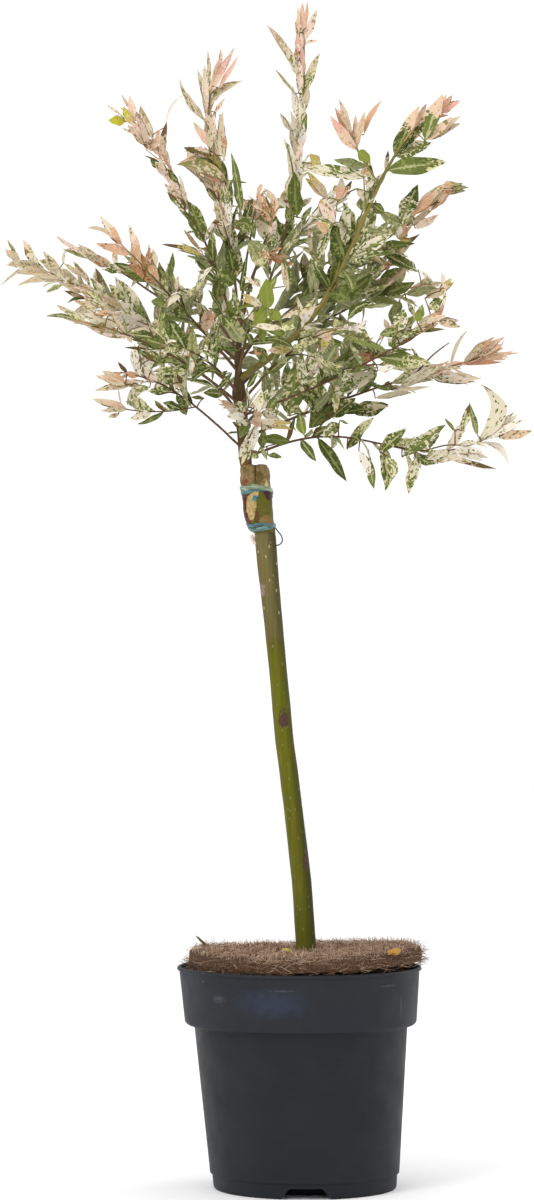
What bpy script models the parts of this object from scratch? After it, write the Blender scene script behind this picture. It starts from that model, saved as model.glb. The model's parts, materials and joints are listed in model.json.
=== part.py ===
"""A dappled willow grafted as a small standard, in a black nursery pot.

Units are metres, +Z is up, +X points right and +Y points away from the viewer.
The origin is the middle of the pot's underside, where it stands on the ground.
"""

import math
import random

import bmesh
import bpy
import numpy as np
from mathutils import Matrix, Vector

GAP = 0.0003
SMALL = 1e-9
CUT_PAST = 0.02

POT_HEIGHT = 0.172
POT_SIDES = 28
POT_WALL = 0.0014
POT_LEAN = -0.0045
LIP_RADIUS = 0.0953
LIP_HEIGHT = 0.0032
LIP_BEVEL = 0.0008
BAND_TOP_RADIUS = 0.0934
BAND_FOOT_RADIUS = 0.0901
BAND_FOOT_HEIGHT = 0.129
BAND_STEP = 0.0022
BODY_TOP_RADIUS = 0.0828
BODY_FOOT_RADIUS = 0.0736
FOOT_HEIGHT = 0.0122
FOOT_STEP = 0.0007
FOOT_TOP_RADIUS = 0.0720
FOOT_RADIUS = 0.0712
FOOT_BEVEL = 0.0018
PAD_RADIUS = 0.046
FLOOR_ROUND = 0.0025
CHANNEL_HEIGHT = 0.0089
CHANNEL_SLOPE = 0.004
NOTCH_COUNT = 3
NOTCH_HEIGHT = 0.0084
NOTCH_INSET = 0.006
NOTCH_BEARING = -90.0
NOTCH_FOOT_WIDTH = 0.039
NOTCH_TOP_WIDTH = 0.025
DRAIN_COUNT = 6
DRAIN_SIDES = 8
DRAIN_RADIUS = 0.0045
DRAIN_RING = 0.0585

COMPOST_TOP = 0.1668

COIR_RADIUS = 0.0915
COIR_THICKNESS = 0.0135
COIR_ROUND = 0.004
COIR_SIDES = 24
COIR_OFFSET = 0.0045
COIR_RISE = 0.0016
COIR_HOLE_RADIUS = 0.0105
# How much thicker the mat's frayed rim is at its left and right ends than in its middle.
COIR_END_RISE = {-1: 0.0075, 1: 0.0030}

TRUNK_SIDES = 12
TRUNK_FOOT_X = 0.0030
TRUNK_TOP_HEIGHT = 0.5605
# Height, X of the centreline and radius, from the foot to the graft.
TRUNK_RINGS = (
    (0.172, 0.0022, 0.0083),
    (0.190, 0.0006, 0.0079),
    (0.238, -0.0027, 0.0076),
    (0.297, -0.0095, 0.0073),
    (0.347, -0.0160, 0.0073),
    (0.405, -0.0213, 0.0070),
    (0.450, -0.0258, 0.0073),
    (0.485, -0.0292, 0.0080),
    (0.515, -0.0318, 0.0085),
    (0.545, -0.0325, 0.0079),
)
TRUNK_FLARE = 0.0092
TRUNK_TOP_SHARE = 0.96
GRAFT_FOOT = 0.505
GRAFT_FACE_X = (-0.0406, -0.0385)
GRAFT_GAP = 0.00036

SCION_SIDES = 10
# Height, X of the centreline and radius, from the graft's wedge to the leader's end.
SCION_RINGS = (
    (0.507, -0.0405, 0.0028),
    (0.522, -0.0425, 0.0052),
    (0.545, -0.0452, 0.0062),
    (0.562, -0.0463, 0.0062),
    (0.580, -0.0474, 0.0050),
    (0.600, -0.0494, 0.0048),
    (0.617, -0.0512, 0.0056),
    (0.630, -0.0517, 0.0045),
    (0.648, -0.0522, 0.0039),
    (0.668, -0.0512, 0.0031),
    (0.684, -0.0500, 0.0026),
)

TIE_WIDTH = 0.0082
TIE_THICKNESS = 0.0009
TIE_SIDES = 24
TIE_HEIGHTS = {"tie_lower": 0.5135, "tie_upper": 0.5405}
TIE_TAIL_RADIUS = 0.0006
TIE_TAIL_REACH = 0.0075
TIE_TAIL_DROP = 0.0155
TIE_TAIL_ROUND = 0.8
TIE_TAIL_END = 0.0016
TIE_TAIL_Y = -0.0025
TIE_TAIL_POINTS = 9
TIE_TAIL_SIDES = 5

BOUGH_SIDES = 5
BOUGH_RINGS = 4
BOUGH_FOOT_RADIUS = 0.0019
BOUGH_TIP_RADIUS = 0.0013
TWIG_SIDES = 3
TWIG_TIP_RADIUS = 0.0006
STEM_RINGS = 7
SIDE_TWIG_RADIUS = 0.0009
SIDE_TWIG_RINGS = 3
SIDE_TWIG_SHARES = (0.28, 0.52)
SIDE_TWIG_REACHES = (0.34, 0.24, 0.16)
SIDE_TWIG_FADE = 0.4
SIDE_TWIG_ANGLE = math.radians(37.0)
SIDE_TWIG_TURN = 137.5
SIDE_TWIG_BOW = 0.002

LEAF_FOOT_LENGTH = 0.044
LEAF_TIP_LENGTH = 0.031
LEAF_WIDTH_SHARE = 0.28
LEAF_THICKNESS = 0.0010
LEAF_WIDEST = 0.42
LEAF_SINK_SHARE = 0.35
TIP_LEAF_SINK = 0.002
TIP_LEAF_SHARE = 0.86
LEAF_ARCH = 0.03
LEAF_SAMPLES = (0.35, 0.7)
PAIR_STEP = 0.0192
PAIR_TURN = 93.0
PAIR_TURN_VARIES = 18.0
PAIR_STAGGER = 0.35
LEAF_FOOT_ANGLE = 52.0
LEAF_TIP_ANGLE = 24.0
LEAF_ANGLE_VARIES = 7.0
LEAF_TURN_VARIES = 14.0
LEAF_LENGTH_VARIES = (0.85, 1.12)
LEAF_FACE_OUT = -0.6
LEAF_FACE_ALONG = 0.4
LEAF_FACE_UP = 0.8
FORK_LEAF_SHARE = 0.4
TWIG_LEAF_SHARES = (0.3, 0.9)
# How a leaf that leaves its space is tried again: its angle's share, then its length's.
LEAF_TRIES = ((1.0, 1.0), (0.7, 0.9), (0.45, 0.75))
SPACE_MARGIN = 0.0012
LIMB_MARGIN = 0.0008

HEAD_X = -0.051
PATH_POINTS = 81
UPWARD = Vector((0.0, 0.0, 1.0))

# Each shoot: the height where it starts, then its tip's bearing in degrees, reach from
# the head's axis and height, then how far its middle bows above the straight line, and
# the share of it that is a bare bough.
SHOOTS = {
    "far_left": (0.619, 158, 0.201, 0.733, 0.009, 0.23),
    "left_thin": (0.642, 143, 0.184, 0.752, 0.006, 0.27),
    "left_pink": (0.634, -150, 0.127, 0.747, 0.002, 0.20),
    "left_cream": (0.608, -140, 0.187, 0.667, 0.014, 0.20),
    "left_fork": (0.572, -165, 0.116, 0.633, 0.015, 0.35),
    "up_left": (0.655, 147, 0.108, 0.855, 0.012, 0.17),
    "tall_left": (0.670, -118, 0.030, 0.884, -0.006, 0.15),
    "top": (0.660, 35, 0.061, 0.927, 0.0, 0.17),
    "tall_right": (0.628, -29, 0.178, 0.842, -0.008, 0.27),
    "right_orange": (0.648, 8, 0.181, 0.780, 0.006, 0.26),
    "right_pale": (0.622, 29, 0.196, 0.714, 0.018, 0.21),
    "right_red": (0.600, -27, 0.188, 0.676, -0.006, 0.29),
    "right_pink": (0.582, 13, 0.226, 0.655, 0.006, 0.23),
    "right_low": (0.567, -10, 0.226, 0.599, -0.007, 0.15),
    "back_tall": (0.672, 80, 0.102, 0.796, 0.010, 0.17),
    "back_yellow": (0.664, 68, 0.145, 0.821, 0.014, 0.21),
    "back_right": (0.640, 54, 0.188, 0.760, 0.012, 0.23),
    "back_left": (0.650, 114, 0.181, 0.717, 0.014, 0.23),
    "back_flat": (0.612, 95, 0.195, 0.700, 0.016, 0.21),
    "back_low_left": (0.598, 122, 0.160, 0.652, 0.018, 0.19),
    "back_low_right": (0.590, 62, 0.180, 0.634, 0.016, 0.19),
    "front_high": (0.630, -82, 0.152, 0.672, 0.018, 0.23),
    "front_left": (0.616, -112, 0.176, 0.640, 0.014, 0.19),
    "front_right": (0.608, -58, 0.178, 0.658, 0.016, 0.20),
    "front_up": (0.668, -72, 0.104, 0.742, 0.012, 0.23),
    "front_low": (0.588, -84, 0.092, 0.597, 0.010, 0.0),
}

# Each fork: its shoot, the share along it where it leaves, then bearing, reach and height of its tip.
FORKS = {
    "left_fork_low": ("left_fork", 0.38, -172, 0.116, 0.611),
    "tall_left_twin": ("tall_left", 0.78, -145, 0.035, 0.874),
    "tall_right_twin": ("tall_right", 0.72, -44, 0.108, 0.836),
    "right_pale_twin": ("right_pale", 0.55, 16, 0.150, 0.740),
    "right_pink_twin": ("right_pink", 0.62, -8, 0.177, 0.662),
    "right_low_twin": ("right_low", 0.62, -20, 0.198, 0.570),
}
FORK_BOW = 0.004

# How far the middle of a shoot or fork lies to the right and up of its own arc, then how
# far its first half lies to the right and up, while its last half lies as far the other way.
BENDS = {
    "tall_left": (-0.008, 0.0, 0.0055, 0.0),
    "top": (0.0165, -0.0240, 0.0, 0.0),
    "tall_right": (0.0, 0.0, 0.008, -0.0054),
    "right_low": (0.0, 0.0, 0.0, 0.013),
    "left_fork_low": (0.0, -0.010, 0.0, 0.0),
}

# Shoots with a thicker stem than the rest, and how many times thicker.
STOUTNESS = {"tall_right": 1.6}

# Shoots of their own colour, the rest are a dappled green.
LEAF_COLOURS = {
    "far_left": (0.62, 0.55, 0.38),
    "left_thin": (0.62, 0.55, 0.38),
    "left_pink": (0.60, 0.33, 0.22),
    "left_cream": (0.62, 0.55, 0.38),
    "left_fork": (0.66, 0.55, 0.44),
    "up_left": (0.62, 0.50, 0.34),
    "tall_left": (0.60, 0.42, 0.34),
    "top": (0.62, 0.42, 0.36),
    "tall_right": (0.58, 0.36, 0.20),
    "right_pink": (0.66, 0.44, 0.36),
    "right_low": (0.52, 0.55, 0.38),
}
LEAF_GREEN = (0.16, 0.24, 0.08)


def clear_scene():
    for thing in list(bpy.data.objects):
        bpy.data.objects.remove(thing, do_unlink=True)


def material(name, colour, roughness=0.6):
    made = bpy.data.materials.new(name)
    made.use_nodes = True
    shader = made.node_tree.nodes["Principled BSDF"]
    shader.inputs["Base Color"].default_value = (*colour, 1.0)
    shader.inputs["Roughness"].default_value = roughness
    return made


def mesh_object(name, points, faces, finish=None):
    mesh = bpy.data.meshes.new(name)
    mesh.from_pydata([tuple(map(float, point)) for point in points], [], faces)
    mesh.update()
    made = bpy.data.objects.new(name, mesh)
    bpy.context.scene.collection.objects.link(made)
    if finish:
        mesh.materials.append(finish)
    return made


def smooth(made, degrees=40.0):
    made.data.shade_smooth()
    made.data.set_sharp_from_angle(angle=math.radians(degrees))


def facing_out(made):
    work = bmesh.new()
    work.from_mesh(made.data)
    bmesh.ops.recalc_face_normals(work, faces=work.faces)
    work.to_mesh(made.data)
    work.free()


def apply_modifiers(made):
    graph = bpy.context.evaluated_depsgraph_get()
    mesh = bpy.data.meshes.new_from_object(made.evaluated_get(graph))
    made.modifiers.clear()
    made.data = mesh


def cut(made, cutter, operation="DIFFERENCE"):
    """Cuts one object by another, which is then removed."""
    modifier = made.modifiers.new("Cut", "BOOLEAN")
    modifier.operation = operation
    modifier.solver = "EXACT"
    modifier.object = cutter
    apply_modifiers(made)
    bpy.data.objects.remove(cutter, do_unlink=True)


def turned(name, profile, sides, finish=None, closed=True):
    """A solid of revolution from (radius, height) points; a point on the axis becomes one vertex."""
    points = []
    rings = []
    for radius, height in profile:
        if radius < SMALL:
            rings.append([len(points)])
            points.append((0.0, 0.0, height))
            continue
        rings.append(list(range(len(points), len(points) + sides)))
        for i in range(sides):
            turn = 2 * math.pi * i / sides
            points.append((radius * math.cos(turn), radius * math.sin(turn), height))
    faces = []
    pairs = list(zip(rings, rings[1:]))
    if closed:
        pairs.append((rings[-1], rings[0]))
    for low, high in pairs:
        if len(low) == 1 and len(high) == 1:
            continue
        for i in range(sides):
            j = (i + 1) % sides
            corners = [low[i % len(low)], low[j % len(low)], high[j % len(high)], high[i % len(high)]]
            faces.append(list(dict.fromkeys(corners)))
    made = mesh_object(name, points, faces, finish)
    facing_out(made)
    return made


def lean_at(height):
    return POT_LEAN * height / POT_HEIGHT


def lean(made):
    """Shears a piece of the pot sideways, more the higher it is."""
    for vertex in made.data.vertices:
        vertex.co.x += lean_at(vertex.co.z)


def notch_cutter(number):
    """A wedge block that takes one notch out of the foot ring."""
    bearing = math.radians(NOTCH_BEARING + 360.0 * number / NOTCH_COUNT)
    near = PAD_RADIUS + CHANNEL_SLOPE + NOTCH_INSET
    far = FOOT_RADIUS + CUT_PAST
    under = CUT_PAST
    slope = (NOTCH_FOOT_WIDTH - NOTCH_TOP_WIDTH) / 2 / NOTCH_HEIGHT
    low = NOTCH_FOOT_WIDTH / 2 + slope * under
    high = NOTCH_TOP_WIDTH / 2
    points = []
    for reach in (near, far):
        points += [
            (reach, -low, -under),
            (reach, low, -under),
            (reach, high, NOTCH_HEIGHT),
            (reach, -high, NOTCH_HEIGHT),
        ]
    faces = [(0, 1, 2, 3), (7, 6, 5, 4), (0, 4, 5, 1), (1, 5, 6, 2), (2, 6, 7, 3), (3, 7, 4, 0)]
    made = mesh_object("notch", points, faces)
    made.data.transform(Matrix.Rotation(bearing, 4, "Z"))
    facing_out(made)
    return made


def make_pot():
    lip_foot = POT_HEIGHT - LIP_HEIGHT
    band_low = BAND_FOOT_HEIGHT - BAND_STEP
    floor_top = CHANNEL_HEIGHT + POT_WALL
    outside = [
        (0.0, 0.0),
        (PAD_RADIUS, 0.0),
        (PAD_RADIUS + CHANNEL_SLOPE, CHANNEL_HEIGHT),
        (FOOT_TOP_RADIUS - 2 * POT_WALL, CHANNEL_HEIGHT),
        (FOOT_RADIUS - 2 * POT_WALL, 0.0),
        (FOOT_RADIUS - FOOT_BEVEL / 2, 0.0),
        (FOOT_RADIUS, FOOT_BEVEL),
        (FOOT_TOP_RADIUS, FOOT_HEIGHT - FOOT_STEP),
        (BODY_FOOT_RADIUS, FOOT_HEIGHT),
        (BODY_TOP_RADIUS, band_low - POT_WALL),
        (BODY_TOP_RADIUS + BAND_STEP / 2, band_low),
        (BAND_FOOT_RADIUS - BAND_STEP, band_low),
        (BAND_FOOT_RADIUS, BAND_FOOT_HEIGHT),
        (BAND_TOP_RADIUS, lip_foot),
        (LIP_RADIUS, lip_foot + LIP_BEVEL),
        (LIP_RADIUS - LIP_BEVEL, POT_HEIGHT),
    ]
    inside = [
        (BAND_TOP_RADIUS - POT_WALL, POT_HEIGHT),
        (BAND_FOOT_RADIUS - POT_WALL - BAND_STEP / 2, BAND_FOOT_HEIGHT + POT_WALL),
        (BODY_TOP_RADIUS - POT_WALL, band_low + POT_WALL),
        (BODY_FOOT_RADIUS - POT_WALL, floor_top + FLOOR_ROUND),
        (BODY_FOOT_RADIUS - POT_WALL - FLOOR_ROUND, floor_top),
        (PAD_RADIUS + CHANNEL_SLOPE - POT_WALL, floor_top),
        (PAD_RADIUS - POT_WALL, POT_WALL),
        (0.0, POT_WALL),
    ]
    pot = turned("pot", outside + inside, POT_SIDES, material("black_plastic", (0.035, 0.038, 0.042), 0.5))
    for number in range(NOTCH_COUNT):
        cut(pot, notch_cutter(number))
    drain = [(0.0, 0.0), (DRAIN_RADIUS, 0.0), (DRAIN_RADIUS, CUT_PAST), (0.0, CUT_PAST)]
    for number in range(DRAIN_COUNT):
        turn = math.radians(NOTCH_BEARING + 360.0 * (number + 0.5) / DRAIN_COUNT)
        hole = turned("hole", drain, DRAIN_SIDES)
        place = Matrix.Translation((DRAIN_RING * math.cos(turn), DRAIN_RING * math.sin(turn), 0.0))
        hole.data.transform(place @ Matrix.Rotation(turn + math.pi / DRAIN_SIDES, 4, "Z"))
        cut(pot, hole)
    lean(pot)
    smooth(pot, 30.0)
    return inside


def make_compost(inside):
    """Fills the pot to a flat surface, a hair clear of its wall."""
    wall = [(radius, height) for radius, height in reversed(inside) if height < COMPOST_TOP]
    band_top, band_foot = inside[0], inside[1]
    share = (COMPOST_TOP - band_foot[1]) / (band_top[1] - band_foot[1])
    wall.append((band_foot[0] + (band_top[0] - band_foot[0]) * share, COMPOST_TOP))
    profile = []
    for number, (radius, height) in enumerate(wall):
        top = number == len(wall) - 1
        profile.append((max(radius - 2 * GAP, 0.0), height if top else height + 2 * GAP))
    profile.append((0.0, COMPOST_TOP))
    compost = turned("compost", profile, POT_SIDES, material("compost", (0.05, 0.03, 0.018), 0.95))
    lean(compost)
    smooth(compost, 30.0)


def end_rise(x):
    """How much higher the mat's upper face is at a distance to the right of its middle."""
    return COIR_END_RISE[1 if x > 0.0 else -1] * min(abs(x) / COIR_RADIUS, 1.0) ** 2


def make_coir_disc():
    """A thick coir mat, tilted so that it rests on the compost at its left and on the lip at its right."""
    half = COIR_THICKNESS / 2
    corner = COIR_ROUND
    profile = [
        (0.0, -half),
        (COIR_RADIUS - corner, -half),
        (COIR_RADIUS, -half + corner),
        (COIR_RADIUS, half - corner),
        (COIR_RADIUS - corner, half),
        (0.0, half),
    ]
    disc = turned("coir_disc", profile, COIR_SIDES, material("coir", (0.30, 0.19, 0.11), 0.95))
    for vertex in disc.data.vertices:
        if vertex.co.z > 0.0:
            vertex.co.z += end_rise(vertex.co.x)
    centre = lean_at(COMPOST_TOP) + COIR_OFFSET
    left = centre - (COIR_RADIUS - corner)
    right = lean_at(POT_HEIGHT) + BAND_TOP_RADIUS - POT_WALL
    tilt = math.atan2(POT_HEIGHT + COIR_RISE - COMPOST_TOP, right - left)
    height = COMPOST_TOP + GAP + (COIR_RADIUS - corner) * math.sin(tilt) + half * math.cos(tilt)
    place = Matrix.Translation((centre, 0.0, height)) @ Matrix.Rotation(-tilt, 4, "Y")
    disc.data.transform(place)
    trunk_x, _ = ring_at(trunk_rings(), height)
    hole = [(0.0, -COIR_THICKNESS), (COIR_HOLE_RADIUS, -COIR_THICKNESS)]
    hole += [(COIR_HOLE_RADIUS, COIR_THICKNESS), (0.0, COIR_THICKNESS)]
    cutter = turned("hole", hole, TRUNK_SIDES)
    cutter.data.transform(Matrix.Translation((trunk_x, 0.0, height)))
    cut(disc, cutter)
    smooth(disc, 30.0)


def frames(path):
    """A tangent and two sideways directions at each point of a path, turning as little as they can."""
    path = np.asarray(path, float)
    steps = np.gradient(path, axis=0)
    steps /= np.linalg.norm(steps, axis=1)[:, None]
    start = Vector(steps[0])
    side = start.cross(Vector((0.0, 1.0, 0.0)))
    if side.length < 0.2:
        side = start.cross(Vector((1.0, 0.0, 0.0)))
    side.normalize()
    made = []
    for step in steps:
        along = Vector(step)
        side = (side - along * side.dot(along)).normalized()
        made.append((along, side, along.cross(side)))
    return made


def tube(name, path, radii, sides, finish=None):
    """A closed tube along a path, with a radius for each of its points."""
    points = []
    for centre, radius, (_, side, up) in zip(path, radii, frames(path)):
        for i in range(sides):
            turn = 2 * math.pi * i / sides
            offset = side * math.cos(turn) + up * math.sin(turn)
            points.append(np.asarray(centre) + radius * np.asarray(offset))
    faces = [tuple(range(sides)), tuple(range(len(points) - sides, len(points)))]
    for ring in range(len(path) - 1):
        for i in range(sides):
            a = ring * sides + i
            b = ring * sides + (i + 1) % sides
            faces.append((a, b, b + sides, a + sides))
    made = mesh_object(name, points, faces, finish)
    facing_out(made)
    return made


def graft_block(name, side):
    """A block whose face is the slanting joint between rootstock and scion; side -1 lies left, 1 right."""
    (low_x, high_x), reach = GRAFT_FACE_X, 2 * CUT_PAST * side
    edge = -GRAFT_GAP / 2 * side
    low, high = GRAFT_FOOT, TRUNK_TOP_HEIGHT + CUT_PAST
    points = []
    for y in (-CUT_PAST, CUT_PAST):
        points += [
            (low_x + edge, y, low),
            (low_x + reach, y, low),
            (high_x + reach, y, high),
            (high_x + edge, y, high),
        ]
    faces = [(0, 1, 2, 3), (7, 6, 5, 4), (0, 4, 5, 1), (1, 5, 6, 2), (2, 6, 7, 3), (3, 7, 4, 0)]
    made = mesh_object(name, points, faces)
    facing_out(made)
    return made


def trunk_rings():
    foot = COMPOST_TOP + GAP
    rings = [(foot, TRUNK_FOOT_X, TRUNK_FLARE)]
    rings += [ring for ring in TRUNK_RINGS if ring[0] > foot]
    rings.append((TRUNK_TOP_HEIGHT, TRUNK_RINGS[-1][1], TRUNK_RINGS[-1][2] * TRUNK_TOP_SHARE))
    return rings


def level_tube(name, rings, sides, finish, swell=0.0):
    """A tube of level rings, so that its ends are flat and upright."""
    points = []
    for height, x, radius in rings:
        for i in range(sides):
            turn = 2 * math.pi * (i + 0.5) / sides
            reach = radius + swell
            points.append((x + reach * math.cos(turn), reach * math.sin(turn), height))
    faces = [tuple(range(sides)), tuple(range(len(points) - sides, len(points)))]
    for ring in range(len(rings) - 1):
        for i in range(sides):
            a = ring * sides + i
            b = ring * sides + (i + 1) % sides
            faces.append((a, b, b + sides, a + sides))
    made = mesh_object(name, points, faces, finish)
    facing_out(made)
    return made


def make_trunk():
    """The rootstock's stem, sliced on its left at the top, where the scion lies against it."""
    trunk = level_tube("trunk", trunk_rings(), TRUNK_SIDES, material("green_bark", (0.23, 0.24, 0.07), 0.55))
    cut(trunk, graft_block("slice", -1))
    smooth(trunk, 35.0)


def make_scion():
    """The grafted stem: a wedge against the rootstock, then the head's short leader."""
    scion = level_tube("scion", SCION_RINGS, SCION_SIDES, material("tan_bark", (0.36, 0.25, 0.16), 0.7))
    cut(scion, graft_block("slice", 1))
    smooth(scion, 35.0)


def ring_at(rings, height):
    """Centre X and radius of a limb's rings at a height."""
    heights = [ring[0] for ring in rings]
    return [float(np.interp(height, heights, [ring[i] for ring in rings])) for i in (1, 2)]


def tie_outline(height, swell):
    """The taut outline round rootstock and scion at a height, pushed out by swell."""
    rounds = [ring_at(trunk_rings(), height), ring_at(SCION_RINGS, height)]
    points = []
    for i in range(TIE_SIDES):
        turn = 2 * math.pi * i / TIE_SIDES
        way = (math.cos(turn), math.sin(turn))
        x, radius = max(rounds, key=lambda entry: entry[0] * way[0] + entry[1])
        reach = radius + swell
        points.append((x + reach * way[0], reach * way[1]))
    return points


def make_tie(name, height, finish):
    """A flat band round the graft."""
    low, high = height - TIE_WIDTH / 2, height + TIE_WIDTH / 2
    inner, outer = 2 * GAP, 2 * GAP + TIE_THICKNESS
    rings = []
    for level, swell in ((low, inner), (low, outer), (high, outer), (high, inner)):
        near = height if swell == outer else level
        rings.append([(x, y, level) for x, y in tie_outline(near, swell)])
    points = [point for ring in rings for point in ring]
    faces = []
    for ring in range(4):
        for i in range(TIE_SIDES):
            j = (i + 1) % TIE_SIDES
            a, b = ring * TIE_SIDES, (ring + 1) % 4 * TIE_SIDES
            faces.append((a + i, a + j, b + j, b + i))
    band = mesh_object(name, points, faces, finish)
    facing_out(band)
    return band


def make_ties():
    finish = material("tie_film", (0.13, 0.28, 0.30), 0.4)
    bands = {name: make_tie(name, height, finish) for name, height in TIE_HEIGHTS.items()}
    height = TIE_HEIGHTS["tie_lower"]
    x, radius = ring_at(trunk_rings(), height)
    edge = x + radius + 2 * GAP + TIE_THICKNESS / 2
    path = []
    for share in np.linspace(0.0, 1.0, TIE_TAIL_POINTS):
        out = TIE_TAIL_REACH * math.sin(math.pi * share) ** TIE_TAIL_ROUND + TIE_TAIL_END * share
        path.append((edge + out, TIE_TAIL_Y, height - TIE_TAIL_DROP * share))
    tail = tube("tail", path, [TIE_TAIL_RADIUS] * len(path), TIE_TAIL_SIDES)
    cut(bands["tie_lower"], tail, "UNION")
    for band in bands.values():
        smooth(band, 35.0)


def polar(bearing, reach, height):
    turn = math.radians(bearing)
    return np.array([HEAD_X + reach * math.cos(turn), reach * math.sin(turn), height])


def bowed(start, end, bow):
    """Points on a smooth arc from start to end, whose middle bows above the straight line."""
    start, end = np.asarray(start, float), np.asarray(end, float)
    along = Vector(end - start).normalized()
    across = along.cross(UPWARD)
    rise = np.asarray(across.cross(along).normalized())
    middle = (start + end) / 2 + 2 * bow * rise
    share = np.linspace(0.0, 1.0, PATH_POINTS)[:, None]
    return (1 - share) ** 2 * start + 2 * share * (1 - share) * middle + share**2 * end


def resample(path, count):
    """The path again, with count points at even distances."""
    path = np.asarray(path, float)
    steps = np.linalg.norm(np.diff(path, axis=0), axis=1)
    places = np.concatenate([[0.0], np.cumsum(steps)])
    wanted = np.linspace(0.0, places[-1], count)
    return np.stack([np.interp(wanted, places, path[:, axis]) for axis in range(3)], axis=1)


def path_length(path):
    return float(np.linalg.norm(np.diff(path, axis=0), axis=1).sum())


def leaf_length(share):
    return LEAF_FOOT_LENGTH + (LEAF_TIP_LENGTH - LEAF_FOOT_LENGTH) * share


def bent(path, name):
    """The path with its own bends, if it has any; its ends stay where they are."""
    middle_x, middle_z, swing_x, swing_z = BENDS.get(name, (0.0, 0.0, 0.0, 0.0))
    share = np.linspace(0.0, 1.0, len(path))[:, None]
    middle = np.array([middle_x, 0.0, middle_z])
    swing = np.array([swing_x, 0.0, swing_z])
    return path + 4 * share * (1 - share) * middle + np.sin(2 * math.pi * share) * swing


def shoot_path(name):
    height, bearing, reach, tip_height, bow, _ = SHOOTS[name]
    x, _ = ring_at(SCION_RINGS, height)
    arc = bowed((x, 0.0, height), polar(bearing, reach, tip_height), bow)
    return resample(bent(arc, name), PATH_POINTS)


def fork_path(name):
    parent, share, bearing, reach, tip_height = FORKS[name]
    path = shoot_path(parent)
    start = path[int(round(share * (len(path) - 1)))]
    arc = bowed(start, polar(bearing, reach, tip_height), FORK_BOW)
    return resample(bent(arc, name), PATH_POINTS // 2)


class Limb:
    """A round limb as a path with a radius at each point."""

    def __init__(self, path, radii):
        self.path = np.asarray(path, float)
        self.radii = np.asarray(radii, float)

    def clear_of(self, points, margin):
        gaps = np.linalg.norm(points[:, None] - self.path[None], axis=2) - self.radii[None]
        return bool((gaps > margin).all())


def level_limb(rings):
    heights = np.linspace(rings[0][0], rings[-1][0], PATH_POINTS)
    found = [ring_at(rings, height) for height in heights]
    path = [(x, 0.0, height) for (x, _), height in zip(found, heights)]
    return Limb(path, [radius for _, radius in found])


def bough_parts(name):
    """The bare part and the leafy part of a shoot, with the bough's radii."""
    path = shoot_path(name)
    count = len(path)
    bare = int(round(SHOOTS[name][5] * (count - 1)))
    radii = np.linspace(BOUGH_FOOT_RADIUS, BOUGH_TIP_RADIUS, max(bare + 1, 2)) * STOUTNESS.get(name, 1.0)
    return path[: bare + 1], path[bare:], radii


def settle_limbs():
    """Every limb and every leafy path, before anything grows."""
    limbs = {"trunk": level_limb(trunk_rings()), "scion": level_limb(SCION_RINGS)}
    leafy = {}
    for name in SHOOTS:
        bare, rest, radii = bough_parts(name)
        if len(bare) > 1:
            limbs[name] = Limb(bare, radii)
        else:
            x, radius = ring_at(SCION_RINGS, SHOOTS[name][0])
            away = np.linalg.norm(rest - np.array([x, 0.0, SHOOTS[name][0]]), axis=1)
            rest = rest[away > radius + GAP]
        leafy[name] = [rest]
    for name, row in FORKS.items():
        leafy[row[0]].append(fork_path(name))
    return limbs, leafy


class Space:
    """The room that each mass has: what lies nearer its own stems than any other mass's."""

    def __init__(self, limbs, leafy):
        self.limbs = limbs
        self.names = list(leafy)
        self.paths = [np.concatenate(leafy[name]) for name in self.names]

    def holds(self, name, points):
        near = np.stack(
            [np.linalg.norm(points[:, None] - path[None], axis=2).min(axis=1) for path in self.paths]
        )
        own = near[self.names.index(name)]
        others = np.delete(near, self.names.index(name), axis=0).min(axis=0)
        if (own + SPACE_MARGIN > others - SPACE_MARGIN).any():
            return False
        return all(limb.clear_of(points, LIMB_MARGIN) for limb in self.limbs.values())


class Leaf:
    """A blade of six faces, flat above and keeled below, sunk into its twig at the root."""

    def __init__(self, root, along, up, length, sink):
        side = along.cross(up).normalized()
        up = side.cross(along).normalized()
        half = length * LEAF_WIDTH_SHARE / 2
        widest = root + along * length * LEAF_WIDEST
        arch = up * length * LEAF_ARCH
        self.points = [
            root - along * sink,
            root + along * length,
            widest + arch - side * half,
            widest + arch + side * half,
            widest + arch - up * LEAF_THICKNESS,
        ]
        self.faces = [(0, 2, 3), (0, 3, 4), (0, 4, 2), (1, 3, 2), (1, 4, 3), (1, 2, 4)]

    def samples(self):
        root, tip, left, right, keel = np.array([tuple(point) for point in self.points])
        found = [tip, left, right, keel]
        for share in LEAF_SAMPLES:
            found += [root + (side - root) * share for side in (left, right)]
            found += [tip + (side - tip) * share for side in (left, right, keel)]
        return np.array(found)


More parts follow.
